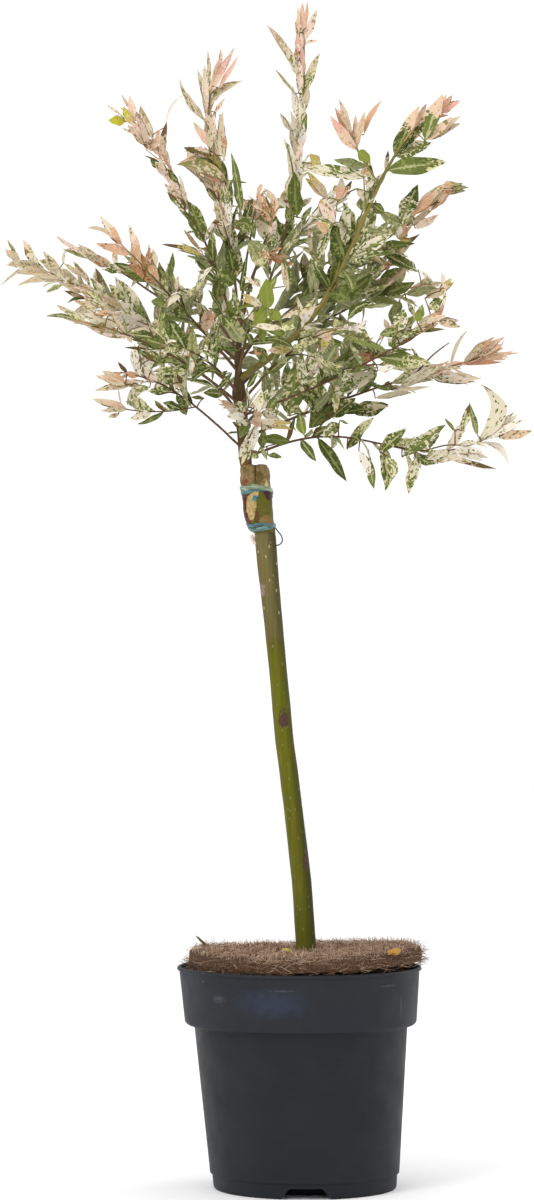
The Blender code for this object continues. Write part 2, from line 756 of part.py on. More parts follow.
def grow_leaves(name, path, radii, space, rng, foot_share, tip_share):
    """Leaves in loose pairs along a stem, each pair turned from the last, and one at the tip."""
    length = path_length(path)
    count = max(int(length / PAIR_STEP), 1)
    dense = resample(path, count * 4 + 1)
    found = frames(dense)
    thickness = np.interp(np.linspace(0.0, 1.0, len(dense)), np.linspace(0.0, 1.0, len(radii)), radii)
    turn = rng.uniform(0.0, 360.0)
    leaves = []
    for pair in range(count):
        share = (pair + 0.55) / count
        turn += PAIR_TURN + rng.uniform(-PAIR_TURN_VARIES, PAIR_TURN_VARIES)
        along_share = foot_share + (tip_share - foot_share) * share
        for half in (0, 1):
            shift = (half - 0.5) * PAIR_STAGGER / count
            place = min(int(round((share + shift) * (len(dense) - 1))), len(dense) - 1)
            along, side, up = found[place]
            angle = math.radians(turn + 180.0 * half + rng.uniform(-LEAF_TURN_VARIES, LEAF_TURN_VARIES))
            out = side * math.cos(angle) + up * math.sin(angle)
            spread = LEAF_FOOT_ANGLE + (LEAF_TIP_ANGLE - LEAF_FOOT_ANGLE) * along_share
            spread = math.radians(spread + rng.uniform(-LEAF_ANGLE_VARIES, LEAF_ANGLE_VARIES))
            size = leaf_length(along_share) * rng.uniform(*LEAF_LENGTH_VARIES)
            for angle_share, size_share in LEAF_TRIES:
                way = along * math.cos(spread * angle_share) + out * math.sin(spread * angle_share)
                face = (out * LEAF_FACE_OUT + along * LEAF_FACE_ALONG + UPWARD * LEAF_FACE_UP).normalized()
                sink = thickness[place] * LEAF_SINK_SHARE
                leaf = Leaf(Vector(dense[place]), way.normalized(), face, size * size_share, sink)
                if space.holds(name, leaf.samples()):
                    leaves.append(leaf)
                    break
    along, side, up = found[-1]
    last = Leaf(Vector(dense[-1]), along, up, leaf_length(tip_share) * TIP_LEAF_SHARE, TIP_LEAF_SINK)
    if space.holds(name, last.samples()):
        leaves.append(last)
    return leaves


def side_twigs(name, path, space, rng):
    """Short twigs that branch off a stem on alternate sides."""
    found = frames(path)
    length = path_length(path)
    twigs = []
    turn = rng.uniform(0.0, 360.0)
    for share in SIDE_TWIG_SHARES:
        place = int(share * (len(path) - 1))
        along, side, up = found[place]
        turn += SIDE_TWIG_TURN
        for reach in SIDE_TWIG_REACHES:
            angle = math.radians(turn)
            out = side * math.cos(angle) + up * math.sin(angle)
            way = np.asarray(along * math.cos(SIDE_TWIG_ANGLE) + out * math.sin(SIDE_TWIG_ANGLE))
            end = path[place] + way * length * reach * (1 - SIDE_TWIG_FADE * share)
            twig = resample(bowed(path[place], end, SIDE_TWIG_BOW), SIDE_TWIG_RINGS)
            if space.holds(name, twig[1:]):
                twigs.append(twig)
                break
    return twigs


def grow_mass(name, space, leafy):
    """The tubes and leaves of one mass: its stem, its forks, and the twigs that branch from them."""
    rng = random.Random(f"willow {name}")
    stems = []
    leaves = []
    for number, path in enumerate(leafy[name]):
        tip = leaf_length(1.0) * TIP_LEAF_SHARE
        keep = path[np.linalg.norm(path - path[-1], axis=1) > tip]
        stem = resample(np.array(keep), STEM_RINGS if number == 0 else SIDE_TWIG_RINGS + 1)
        foot = BOUGH_TIP_RADIUS if number == 0 else SIDE_TWIG_RADIUS
        radii = np.linspace(foot, TWIG_TIP_RADIUS, len(stem)) * STOUTNESS.get(name, 1.0)
        stems.append((stem, radii))
        leaves += grow_leaves(name, stem, radii, space, rng, FORK_LEAF_SHARE if number else 0.0, 1.0)
        if number:
            continue
        for twig in side_twigs(name, resample(keep, PATH_POINTS), space, rng):
            radii = np.linspace(SIDE_TWIG_RADIUS, TWIG_TIP_RADIUS, len(twig))
            stems.append((twig, radii))
            leaves += grow_leaves(name, twig, radii, space, rng, *TWIG_LEAF_SHARES)
    return stems, leaves


def joined(name, stems, leaves, finish):
    """One solid of a mass's tubes and leaves, by a Boolean union on a collection."""
    group = bpy.data.collections.new(f"{name} parts")
    bpy.context.scene.collection.children.link(group)
    first, others = stems[0], stems[1:]
    mass = tube(name, first[0], first[1], TWIG_SIDES, finish)
    parts = [tube("twig", path, radii, TWIG_SIDES) for path, radii in others]
    for leaf in leaves:
        blade = mesh_object("leaf", leaf.points, leaf.faces)
        facing_out(blade)
        parts.append(blade)
    for part in parts:
        bpy.context.scene.collection.objects.unlink(part)
        group.objects.link(part)
    union = mass.modifiers.new("Join", "BOOLEAN")
    union.operation = "UNION"
    union.solver = "EXACT"
    union.operand_type = "COLLECTION"
    union.collection = group
    apply_modifiers(mass)
    for part in parts:
        bpy.data.objects.remove(part, do_unlink=True)
    bpy.data.collections.remove(group)
    keep_largest(mass)
    return mass


def keep_largest(made):
    """Drops loose scraps, so that one body stays."""
    work = bmesh.new()
    work.from_mesh(made.data)
    bmesh.ops.triangulate(work, faces=work.faces)
    left = set(work.verts)
    islands = []
    while left:
        island = {left.pop()}
        edge = list(island)
        while edge:
            vertex = edge.pop()
            for link in vertex.link_edges:
                other = link.other_vert(vertex)
                if other not in island:
                    island.add(other)
                    edge.append(other)
        left -= island
        islands.append(island)
    islands.sort(key=len)
    for island in islands[:-1]:
        bmesh.ops.delete(work, geom=list(island), context="VERTS")
    work.to_mesh(made.data)
    work.free()


def make_bough(name, limbs):
    """One tapering limb, cut a hair clear of the stem that carries it and of its own mass."""
    limb = limbs[name]
    path = resample(limb.path, BOUGH_RINGS + 1)
    along = path[-1] - path[-2]
    path[-1] -= along / np.linalg.norm(along) * GAP
    radii = np.linspace(limb.radii[0], limb.radii[-1], len(path))
    finish = material(f"{name}_bark", (0.26, 0.20, 0.12), 0.65)
    bough = tube(f"bough_{name}", path, radii, BOUGH_SIDES, finish)
    cut(bough, level_tube("stem", SCION_RINGS, SCION_SIDES, None, GAP))
    keep_largest(bough)
    smooth(bough, 50.0)


def main():
    clear_scene()
    make_compost(make_pot())
    make_coir_disc()
    make_trunk()
    make_scion()
    make_ties()
    limbs, leafy = settle_limbs()
    for name in SHOOTS:
        if name in limbs:
            make_bough(name, limbs)
    space = Space(limbs, leafy)
    for name in SHOOTS:
        stems, leaves = grow_mass(name, space, leafy)
        finish = material(f"{name}_leaves", LEAF_COLOURS.get(name, LEAF_GREEN), 0.5)
        joined(f"leaves_{name}", stems, leaves, finish)


main()
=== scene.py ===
"""The looks of a potted dappled willow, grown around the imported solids.

Units are metres, +Z is up, +X points right and +Y points away from the camera.
The crown grows by the rule of the part's source: the same shoots and forks, with leaves in
loose pairs along them, carried on to finer twigs and whole leaves.
"""

import json
import math
import random
import zlib
from collections import namedtuple

import bmesh
import bpy
import numpy as np
from mathutils import Matrix, Vector, noise


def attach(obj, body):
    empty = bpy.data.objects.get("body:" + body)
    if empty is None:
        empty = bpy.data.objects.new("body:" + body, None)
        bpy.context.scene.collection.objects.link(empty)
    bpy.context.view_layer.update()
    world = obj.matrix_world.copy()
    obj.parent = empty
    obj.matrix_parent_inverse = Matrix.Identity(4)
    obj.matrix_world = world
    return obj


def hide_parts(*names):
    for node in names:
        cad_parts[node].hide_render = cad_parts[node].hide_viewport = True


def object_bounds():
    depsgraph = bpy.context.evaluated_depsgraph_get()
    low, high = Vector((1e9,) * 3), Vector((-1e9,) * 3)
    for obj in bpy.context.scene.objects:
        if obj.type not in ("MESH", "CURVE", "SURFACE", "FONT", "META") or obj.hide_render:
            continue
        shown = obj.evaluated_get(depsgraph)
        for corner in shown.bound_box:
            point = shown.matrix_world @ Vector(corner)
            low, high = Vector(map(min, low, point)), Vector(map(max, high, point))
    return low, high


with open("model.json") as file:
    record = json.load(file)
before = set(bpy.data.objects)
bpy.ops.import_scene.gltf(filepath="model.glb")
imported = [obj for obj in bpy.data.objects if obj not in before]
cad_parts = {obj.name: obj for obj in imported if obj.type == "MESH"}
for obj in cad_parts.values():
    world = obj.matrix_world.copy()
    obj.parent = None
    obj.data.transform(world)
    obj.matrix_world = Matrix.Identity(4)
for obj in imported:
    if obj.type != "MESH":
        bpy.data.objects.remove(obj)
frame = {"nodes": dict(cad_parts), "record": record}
# Unless it is given a seed, the vector noise takes one from the clock.
noise.seed_set(1)
CAD_BOX = [list(corner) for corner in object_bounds()]

UPWARD = Vector((0.0, 0.0, 1.0))
GAP = 0.0003

# The part's sizes that the scene's own meshes follow.
POT_HEIGHT = 0.172
POT_WALL = 0.0014
POT_LEAN = -0.0045
LIP_RADIUS = 0.0953
LIP_HEIGHT = 0.0032
LIP_BEVEL = 0.0008
BAND_TOP_RADIUS = 0.0934
BAND_FOOT_RADIUS = 0.0901
BAND_FOOT_HEIGHT = 0.129
BAND_STEP = 0.0022
BODY_TOP_RADIUS = 0.0828
BODY_FOOT_RADIUS = 0.0736
FOOT_HEIGHT = 0.0122
FOOT_STEP = 0.0007
FOOT_TOP_RADIUS = 0.0720
FOOT_RADIUS = 0.0712
FOOT_BEVEL = 0.0018
PAD_RADIUS = 0.046
FLOOR_ROUND = 0.0025
CHANNEL_HEIGHT = 0.0089
CHANNEL_SLOPE = 0.004
NOTCH_COUNT = 3
NOTCH_HEIGHT = 0.0084
NOTCH_INSET = 0.006
NOTCH_BEARING = -90.0
NOTCH_FOOT_WIDTH = 0.039
NOTCH_TOP_WIDTH = 0.025
DRAIN_COUNT = 6
DRAIN_RADIUS = 0.0045
DRAIN_RING = 0.0585
CUT_PAST = 0.02

COMPOST_TOP = 0.1668
COIR_RADIUS = 0.0915
COIR_THICKNESS = 0.0135
COIR_OFFSET = 0.0045
COIR_RISE = 0.0016
COIR_ROUND = 0.004
COIR_HOLE_RADIUS = 0.0105
COIR_END_RISE = {-1: 0.0075, 1: 0.0030}

TRUNK_FOOT_X = 0.0030
TRUNK_TOP_HEIGHT = 0.5605
TRUNK_FLARE = 0.0092
TRUNK_RINGS = (
    (0.172, 0.0022, 0.0083),
    (0.190, 0.0006, 0.0079),
    (0.238, -0.0027, 0.0076),
    (0.297, -0.0095, 0.0073),
    (0.347, -0.0160, 0.0073),
    (0.405, -0.0213, 0.0070),
    (0.450, -0.0258, 0.0073),
    (0.485, -0.0292, 0.0080),
    (0.515, -0.0318, 0.0085),
    (0.545, -0.0325, 0.0079),
)
SCION_RINGS = (
    (0.507, -0.0405, 0.0028),
    (0.522, -0.0425, 0.0052),
    (0.545, -0.0452, 0.0062),
    (0.562, -0.0463, 0.0062),
    (0.580, -0.0474, 0.0050),
    (0.600, -0.0494, 0.0048),
    (0.617, -0.0512, 0.0056),
    (0.630, -0.0517, 0.0045),
    (0.648, -0.0522, 0.0039),
    (0.668, -0.0512, 0.0031),
    (0.684, -0.0500, 0.0026),
)
TIE_HEIGHTS = {"tie_lower": 0.5135, "tie_upper": 0.5405}

BOUGH_DRAWN_FOOT = 0.0013
BOUGH_DRAWN_TIP = 0.00105
TWIG_TIP_RADIUS = 0.0005
SIDE_TWIG_RADIUS = 0.0007
HEAD_X = -0.051
PATH_POINTS = 81

Shoot = namedtuple("Shoot", "height bearing reach tip_height bow bare")
Fork = namedtuple("Fork", "shoot share bearing reach tip_height")
Style = namedtuple(
    "Style", "spacing foot_length tip_length foot_angle tip_angle width tip_kind kinds"
)
Kind = namedtuple("Kind", "least most midrib grounds specks between under under_speck")

# Each shoot: the height where it starts, then its tip's bearing in degrees, reach from
# the head's axis and height, then how far its middle bows above the straight line, and
# the share of it that is a bare bough.
SHOOTS = {
    "far_left": Shoot(0.619, 158, 0.201, 0.733, 0.009, 0.23),
    "left_thin": Shoot(0.642, 143, 0.184, 0.752, 0.006, 0.27),
    "left_pink": Shoot(0.634, -150, 0.127, 0.747, 0.002, 0.20),
    "left_cream": Shoot(0.608, -140, 0.187, 0.667, 0.014, 0.20),
    "left_fork": Shoot(0.572, -165, 0.116, 0.633, 0.015, 0.35),
    "up_left": Shoot(0.655, 147, 0.108, 0.855, 0.012, 0.17),
    "tall_left": Shoot(0.670, -118, 0.030, 0.884, -0.006, 0.15),
    "top": Shoot(0.660, 35, 0.061, 0.927, 0.0, 0.17),
    "tall_right": Shoot(0.628, -29, 0.178, 0.842, -0.008, 0.27),
    "right_orange": Shoot(0.648, 8, 0.181, 0.780, 0.006, 0.26),
    "right_pale": Shoot(0.622, 29, 0.196, 0.714, 0.018, 0.21),
    "right_red": Shoot(0.600, -27, 0.188, 0.676, -0.006, 0.29),
    "right_pink": Shoot(0.582, 13, 0.226, 0.655, 0.006, 0.23),
    "right_low": Shoot(0.567, -10, 0.226, 0.599, -0.007, 0.15),
    "back_tall": Shoot(0.672, 80, 0.102, 0.796, 0.010, 0.17),
    "back_yellow": Shoot(0.664, 68, 0.145, 0.821, 0.014, 0.21),
    "back_right": Shoot(0.640, 54, 0.188, 0.760, 0.012, 0.23),
    "back_left": Shoot(0.650, 114, 0.181, 0.717, 0.014, 0.23),
    "back_flat": Shoot(0.612, 95, 0.195, 0.700, 0.016, 0.21),
    "back_low_left": Shoot(0.598, 122, 0.160, 0.652, 0.018, 0.19),
    "back_low_right": Shoot(0.590, 62, 0.180, 0.634, 0.016, 0.19),
    "front_high": Shoot(0.630, -82, 0.152, 0.672, 0.018, 0.23),
    "front_left": Shoot(0.616, -112, 0.176, 0.640, 0.014, 0.19),
    "front_right": Shoot(0.608, -58, 0.178, 0.658, 0.016, 0.20),
    "front_up": Shoot(0.668, -72, 0.104, 0.742, 0.012, 0.23),
    "front_low": Shoot(0.588, -84, 0.092, 0.597, 0.010, 0.0),
}
# Each fork: its shoot, the share along it where it leaves, then bearing, reach and height of its tip.
FORKS = {
    "left_fork_low": Fork("left_fork", 0.38, -172, 0.116, 0.611),
    "tall_left_twin": Fork("tall_left", 0.78, -145, 0.035, 0.874),
    "tall_right_twin": Fork("tall_right", 0.69, -44, 0.108, 0.836),
    "right_pale_twin": Fork("right_pale", 0.55, 16, 0.150, 0.740),
    "right_pink_twin": Fork("right_pink", 0.62, -8, 0.177, 0.662),
    "right_low_twin": Fork("right_low", 0.62, -20, 0.198, 0.570),
}
FORK_BOW = 0.004

# How far the middle of a shoot or fork lies to the right and up of its own arc, then how
# far its first half lies to the right and up, while its last half lies as far the other way.
BENDS = {
    "tall_left": (-0.008, 0.0, 0.0055, 0.0),
    "top": (0.0165, -0.0240, 0.0, 0.0),
    "tall_right": (0.0050, 0.0, 0.008, -0.0054),
    "tall_right_twin": (-0.0085, 0.0, 0.0, 0.0),
    "right_low": (0.0, 0.0, 0.0, 0.013),
    "left_fork_low": (0.0, -0.010, 0.0, 0.0),
    "left_fork": (0.0, 0.0, -0.0010, -0.0015),
}
STOUTNESS = {"tall_right": 2.1, "left_fork": 0.78, "right_low": 0.85, "right_red": 0.85}
STOUT_PIXELS = (-4.5, -3.0, -1.5, 0.0, 1.5, 3.0, 4.5)
KNUCKLE_HEIGHTS = (0.612, 0.652)

# How the leaves of each shoot look: the distance between pairs, a leaf's length at the foot
# and the tip, its angle to the stem at the foot and the tip, its width as a share of its
# length, the kind at the very tip, and the kinds of leaf up to each share of its length.
STYLE_ROWS = """
    far_left 4.8 36 26 44 30 0.21 khaki green 0.2 flecked 0.34 white 0.5 khaki 1
    left_thin 6.8 34 27 34 16 0.2 khaki green 0.4 flecked 0.62 khaki 1
    left_pink 7.0 36 29 44 22 0.24 rust green 0.35 dappled 0.5 white 0.72 rust 1
    left_cream 8.5 34 25 40 20 0.2 khaki green 0.35 flecked 0.5 khaki 1
    left_fork 9.0 34 25 48 28 0.25 peach green 0.2 flecked 0.4 dappled 0.6 white 1
    left_fork_low 8.5 26 24 48 22 0.23 khaki flecked 0.3 dappled 0.6 white 1
    up_left 5.4 42 27 36 17 0.2 tan green 0.3 flecked 0.42 white 0.6 tan 1
    tall_left 4.6 40 30 34 22 0.24 rose green 0.3 flecked 0.5 khaki 0.75 tan 1
    tall_left_twin 9.0 34 26 26 16 0.2 blush flecked 0.3 white 0.7 blush 1
    top 5.8 40 29 24 11 0.19 rose green 0.22 flecked 0.36 white 0.78 blush 1
    tall_right 11.5 46 34 56 30 0.29 salmon green 0.45 flecked 0.72 dappled 0.86 peach 1
    tall_right_twin 9.0 34 28 40 22 0.24 salmon flecked 0.35 salmon 1
    right_orange 9.0 42 32 48 26 0.26 salmon green 0.45 flecked 0.68 dappled 0.8 peach 1
    right_pale 8.5 42 34 50 28 0.27 peach green 0.4 grey 0.75 dappled 0.9 yellow 1
    right_pale_twin 9.5 40 32 46 28 0.27 peach grey 0.4 flecked 0.8 dappled 1
    right_red 9.0 42 31 48 26 0.26 salmon green 0.4 flecked 0.7 dappled 0.86 peach 1
    right_pink 7.5 40 34 48 22 0.24 salmon green 0.3 flecked 0.5 blush 0.84 salmon 1
    right_pink_twin 9.0 36 28 46 26 0.24 blush flecked 0.35 dappled 0.7 white 1
    right_low 8.5 36 34 66 34 0.27 white green 0.2 flecked 0.42 dappled 0.7 white 1
    right_low_twin 10.5 34 28 66 40 0.26 white flecked 0.3 dappled 0.7 white 1
    back_tall 12.0 40 30 44 24 0.25 salmon green 0.25 flecked 0.6 tan 1
    back_yellow 12.0 40 32 44 24 0.26 yellow green 0.25 flecked 0.6 yellow 1
    back_right 11.5 42 32 48 26 0.27 peach green 0.25 grey 0.6 dappled 1
    back_left 11.5 40 30 46 24 0.26 blush green 0.25 flecked 0.5 dappled 0.75 white 1
    back_flat 11.5 40 30 46 24 0.26 khaki green 0.25 grey 0.5 dappled 0.75 white 1
    back_low_left 11.5 38 28 46 24 0.25 peach green 0.25 flecked 0.6 dappled 0.85 white 1
    back_low_right 11.5 38 30 48 26 0.26 blush green 0.25 flecked 0.6 dappled 0.85 white 1
    front_high 12.0 36 26 52 36 0.27 lime green 0.25 flecked 0.6 lime 1
    front_left 12.0 38 28 50 30 0.26 white green 0.25 flecked 0.6 dappled 1
    front_right 12.0 38 28 50 30 0.26 white green 0.25 flecked 0.6 dappled 1
    front_up 11.5 38 28 44 24 0.25 rust green 0.25 flecked 0.6 tan 1
    front_low 10.5 38 30 58 44 0.26 peach green 0.3 flecked 0.5 white 1
"""


def style_of(words):
    """A style from the words of its row."""
    kinds = tuple(zip(words[7::2], (float(limit) for limit in words[8::2])))
    return Style(*(float(word) for word in words[:6]), words[6], kinds)


STYLES = {row.split()[0]: style_of(row.split()[1:]) for row in STYLE_ROWS.strip().splitlines()}

# Plain colours of leaves and stems, as 8-bit display values.
TONES = {
    "leaf_deep": (68, 78, 34),
    "leaf_dark": (86, 97, 42),
    "leaf_green": (100, 111, 52),
    "leaf_mid": (128, 134, 74),
    "leaf_grey": (130, 134, 94),
    "leaf_pale": (168, 167, 118),
    "leaf_cream": (208, 200, 158),
    "leaf_lime": (118, 130, 44),
    "leaf_yellow": (190, 168, 100),
    "leaf_citrus": (176, 172, 44),
    "olive": (134, 126, 74),
    "cream": (213, 203, 178),
    "ivory": (226, 218, 204),
    "blush": (224, 200, 182),
    "khaki": (198, 183, 154),
    "tan": (180, 154, 120),
    "peach": (214, 185, 158),
    "salmon": (203, 158, 124),
    "rose": (214, 164, 148),
    "rust": (166, 116, 78),
    "umber": (104, 82, 52),
    "twig_red": (108, 68, 46),
    "twig_brown": (98, 78, 48),
    "twig_olive": (118, 112, 58),
    "twig_pink": (178, 132, 104),
    "twig_khaki": (136, 124, 66),
    "twig_dark": (88, 64, 44),
}
TONE_GAIN = 0.97

# Kinds of leaf: the least and the greatest share of specks, whether a pale midrib shows,
# ground tones above, speck tones, the tone between them, the ground and the specks below.
KIND_ROWS = """
    green 0.1 0.3 rib leaf_dark,leaf_green,leaf_deep leaf_mid,leaf_pale leaf_green leaf_grey leaf_pale
    flecked 0.26 0.5 rib leaf_dark,leaf_green leaf_cream,cream leaf_mid leaf_grey leaf_cream
    grey 0.2 0.4 rib leaf_grey,leaf_mid leaf_pale,leaf_dark leaf_pale leaf_grey leaf_pale
    dappled 0.26 0.44 plain leaf_cream,cream leaf_green,leaf_mid leaf_pale leaf_cream leaf_mid
    white 0.06 0.2 plain ivory,cream,ivory olive,leaf_green cream ivory olive
    khaki 0.12 0.3 plain khaki,cream,khaki tan,olive khaki cream tan
    tan 0.2 0.4 plain tan,khaki,peach blush,rust khaki blush tan
    blush 0.08 0.22 plain blush,cream,blush tan,olive peach blush tan
    peach 0.1 0.28 plain peach,khaki salmon,olive khaki peach khaki
    salmon 0.12 0.32 plain salmon,peach rose,tan peach peach salmon
    rose 0.15 0.35 plain rose,salmon blush,peach peach blush rose
    rust 0.2 0.4 plain rust,salmon peach,umber tan peach rust
    lime 0.04 0.14 rib leaf_lime leaf_mid leaf_lime leaf_lime leaf_mid
    umber 0.1 0.3 plain umber,twig_brown leaf_dark umber twig_brown umber
    yellow 0.15 0.32 plain leaf_yellow leaf_mid,leaf_cream leaf_pale cream leaf_yellow
    citrus 0.2 0.4 plain leaf_citrus leaf_yellow leaf_citrus leaf_citrus leaf_yellow
    moss 0.1 0.28 plain twig_khaki,olive khaki,umber olive twig_khaki khaki
"""


def kind_of(least, most, midrib, grounds, specks, *others):
    """A kind from the words of its row."""
    return Kind(float(least), float(most), midrib == "rib", grounds.split(","), specks.split(","), *others)


KINDS = {row.split()[0]: kind_of(*row.split()[1:]) for row in KIND_ROWS.strip().splitlines()}


# The camera of the photograph: its place, its focal length in pixels and the middle of its view.
CAMERA_X = -0.0296
CAMERA_HEIGHT = 0.4182
CAMERA_DISTANCE = 3.0
FOCAL_PIXELS = 3852.6
FRAME_WIDTH = 534
FRAME_HEIGHT = 1200
MIDDLE_COLUMN = 267
HORIZON_ROW = 649


def in_view(points):
    """Pixels of the view, in a frame 1200 high, where points fall."""
    points = np.asarray(points, float)
    scale = FOCAL_PIXELS / (CAMERA_DISTANCE + points[..., 1])
    across = MIDDLE_COLUMN + (points[..., 0] - CAMERA_X) * scale
    return np.stack([across, HORIZON_ROW - (points[..., 2] - CAMERA_HEIGHT) * scale], axis=-1)


def from_view(column, row, depth):
    """The place at a depth behind the trunk that falls on a pixel of the view."""
    scale = (CAMERA_DISTANCE + depth) / FOCAL_PIXELS
    x = CAMERA_X + (column - MIDDLE_COLUMN) * scale
    return np.array([x, depth, CAMERA_HEIGHT - (row - HORIZON_ROW) * scale])


# The crown's outline and the larger gaps in it, as corners in the view.
OUTLINE = (
    "302,1 305,5 307,2 307,20 317,10 306,36 317,39 305,46 302,72 319,52 304,113 306,114 307,125 301,141 "
    "301,162 307,162 306,155 310,153 321,163 335,163 333,159 335,157 360,159 347,134 332,121 330,114 "
    "329,108 338,108 340,97 349,121 355,127 358,107 362,108 366,116 371,106 381,99 365,131 367,148 377,171 "
    "387,148 391,150 386,166 391,160 413,108 427,102 430,110 441,93 444,96 450,90 454,98 460,98 446,115 "
    "460,114 457,123 430,142 398,158 393,164 421,154 441,156 447,160 447,163 426,171 388,173 380,182 "
    "375,199 385,213 396,219 416,183 420,185 421,193 440,179 465,184 468,188 461,194 443,197 441,203 "
    "433,207 432,213 438,215 410,231 421,233 415,244 397,251 410,257 420,272 429,275 437,285 441,283 "
    "443,274 446,280 452,278 455,283 446,297 448,311 443,316 464,325 418,336 409,345 415,352 433,360 "
    "446,359 466,331 466,339 452,357 451,364 462,361 500,335 504,336 506,348 513,345 513,352 517,352 "
    "495,366 452,368 477,372 482,378 470,385 451,385 435,379 413,388 425,388 408,397 378,399 390,405 "
    "370,413 372,434 365,449 372,449 403,426 405,437 392,452 395,453 411,438 423,435 445,422 445,417 "
    "454,428 460,427 466,412 465,402 478,426 484,411 481,384 486,388 497,409 496,423 513,412 526,408 "
    "527,413 510,428 527,426 532,428 515,439 500,436 483,442 503,452 507,464 490,451 477,447 468,448 "
    "488,456 481,463 489,467 495,464 493,469 482,471 469,463 448,459 422,470 407,496 405,485 410,465 "
    "407,459 391,458 397,473 390,488 382,492 381,474 374,456 369,454 366,454 374,464 376,475 371,489 "
    "354,453 345,450 339,452 349,468 346,482 335,474 322,448 311,444 316,462 304,453 296,441 278,451 "
    "276,453 282,457 270,460 266,465 269,469 239,470 239,462 234,449 200,412 189,413 186,416 165,414 "
    "139,424 137,423 147,416 133,419 126,415 108,417 101,412 92,398 101,398 121,407 120,399 125,405 126,399 "
    "135,386 95,391 105,381 95,377 96,372 103,370 119,376 121,372 119,362 125,370 132,370 132,350 123,347 "
    "133,345 133,342 94,331 87,325 48,316 67,314 56,304 69,307 67,302 74,297 63,288 47,292 44,287 18,287 "
    "18,284 36,281 16,275 0,285 13,271 4,264 8,259 3,251 6,247 11,249 8,239 19,257 29,262 21,241 23,238 "
    "37,257 44,257 44,250 57,261 66,246 56,234 81,252 78,242 102,257 127,263 122,257 107,253 96,245 97,242 "
    "110,243 101,234 85,228 88,224 100,224 101,215 126,248 129,240 128,225 143,254 148,245 150,250 154,247 "
    "159,263 166,266 173,252 171,277 175,283 178,274 183,289 188,293 198,283 201,274 186,254 161,242 "
    "188,240 182,230 185,229 183,215 169,197 166,191 170,191 144,156 144,154 152,158 152,153 146,151 "
    "123,128 124,124 113,122 108,107 120,114 122,95 125,98 130,95 136,108 141,105 153,134 171,108 167,133 "
    "168,165 176,177 178,191 177,175 180,174 185,199 191,202 205,234 214,219 211,207 216,206 215,200 "
    "194,173 208,179 198,170 180,170 175,164 193,155 183,150 182,144 200,147 192,122 198,123 201,128 "
    "202,125 186,96 180,77 205,115 198,64 206,58 208,52 211,84 220,51 228,47 236,57 219,89 233,80 242,80 "
    "228,93 216,113 218,115 222,110 225,125 222,154 227,176 232,150 234,170 238,178 246,182 238,185 241,209 "
    "245,203 242,199 254,193 258,183 266,186 273,198 284,197 290,166 284,139 289,142 287,129 281,114 "
    "291,123 292,112 290,93 276,69 286,78 290,87 291,74 282,48 265,23 273,24 294,48 297,8",
    "121,272 120,275 152,322 155,322 156,314 153,308 150,302 159,299 158,295 149,283 141,279 131,286 "
    "135,276",
    "367,307 366,311 355,312 347,322 353,327 365,313 369,319 370,332 377,337 384,327 383,318 390,320 "
    "395,312 390,307",
    "65,251 64,261 72,272 75,270 72,260 87,280 90,275 95,276 95,267 100,272 108,284 119,286 114,275 104,272 "
    "96,262",
    "361,414 348,416 345,420 348,424 338,424 332,436 337,438 345,442 364,428 368,414",
    "203,399 197,401 224,431 228,431 234,429 227,416 213,399",
    "239,244 241,260 247,255 244,273 259,279 268,277 266,270 257,264 247,245",
    "252,207 255,236 264,242 271,258 269,268 275,281 274,275 276,275 280,271 280,263 254,221 254,217 "
    "261,213",
    "395,368 393,370 379,371 371,382 390,383 388,386 393,387 412,371",
    "145,392 139,396 144,407 150,411 157,411 152,401 159,403 161,405 165,401 174,404 175,393 159,395",
    "354,189 348,199 351,210 351,229 353,233 355,228 356,216 360,217 363,208 357,200",
    "364,385 332,396 339,400 348,396 355,395 358,402 376,388",
    "447,423 442,437 423,451 429,452 447,444 452,438 453,430",
    "328,244 320,257 326,282 331,280 333,265",
    "213,225 213,250 217,265 220,263 224,247",
    "413,271 390,278 397,281 408,278 417,286 425,286 419,273",
    "205,290 200,299 200,307 202,309 211,305 219,306 219,303",
    "306,181 302,198 313,197 302,207 305,209 310,204 315,210 317,205 311,184",
    "275,202 275,215 289,234 284,205",
    "324,173 322,175 333,193 335,178",
    "470,427 456,442 459,446 460,443 466,444 473,436",
    "322,378 322,382 327,386 323,386 322,393 327,393 336,383 331,378",
    "349,175 345,176 345,180 349,177 354,186 361,190 365,191 363,181 353,174",
    "257,378 248,391 246,400 250,397 265,382",
    "205,366 205,375 216,386 219,378",
)
OUTLINE_ROWS = 520

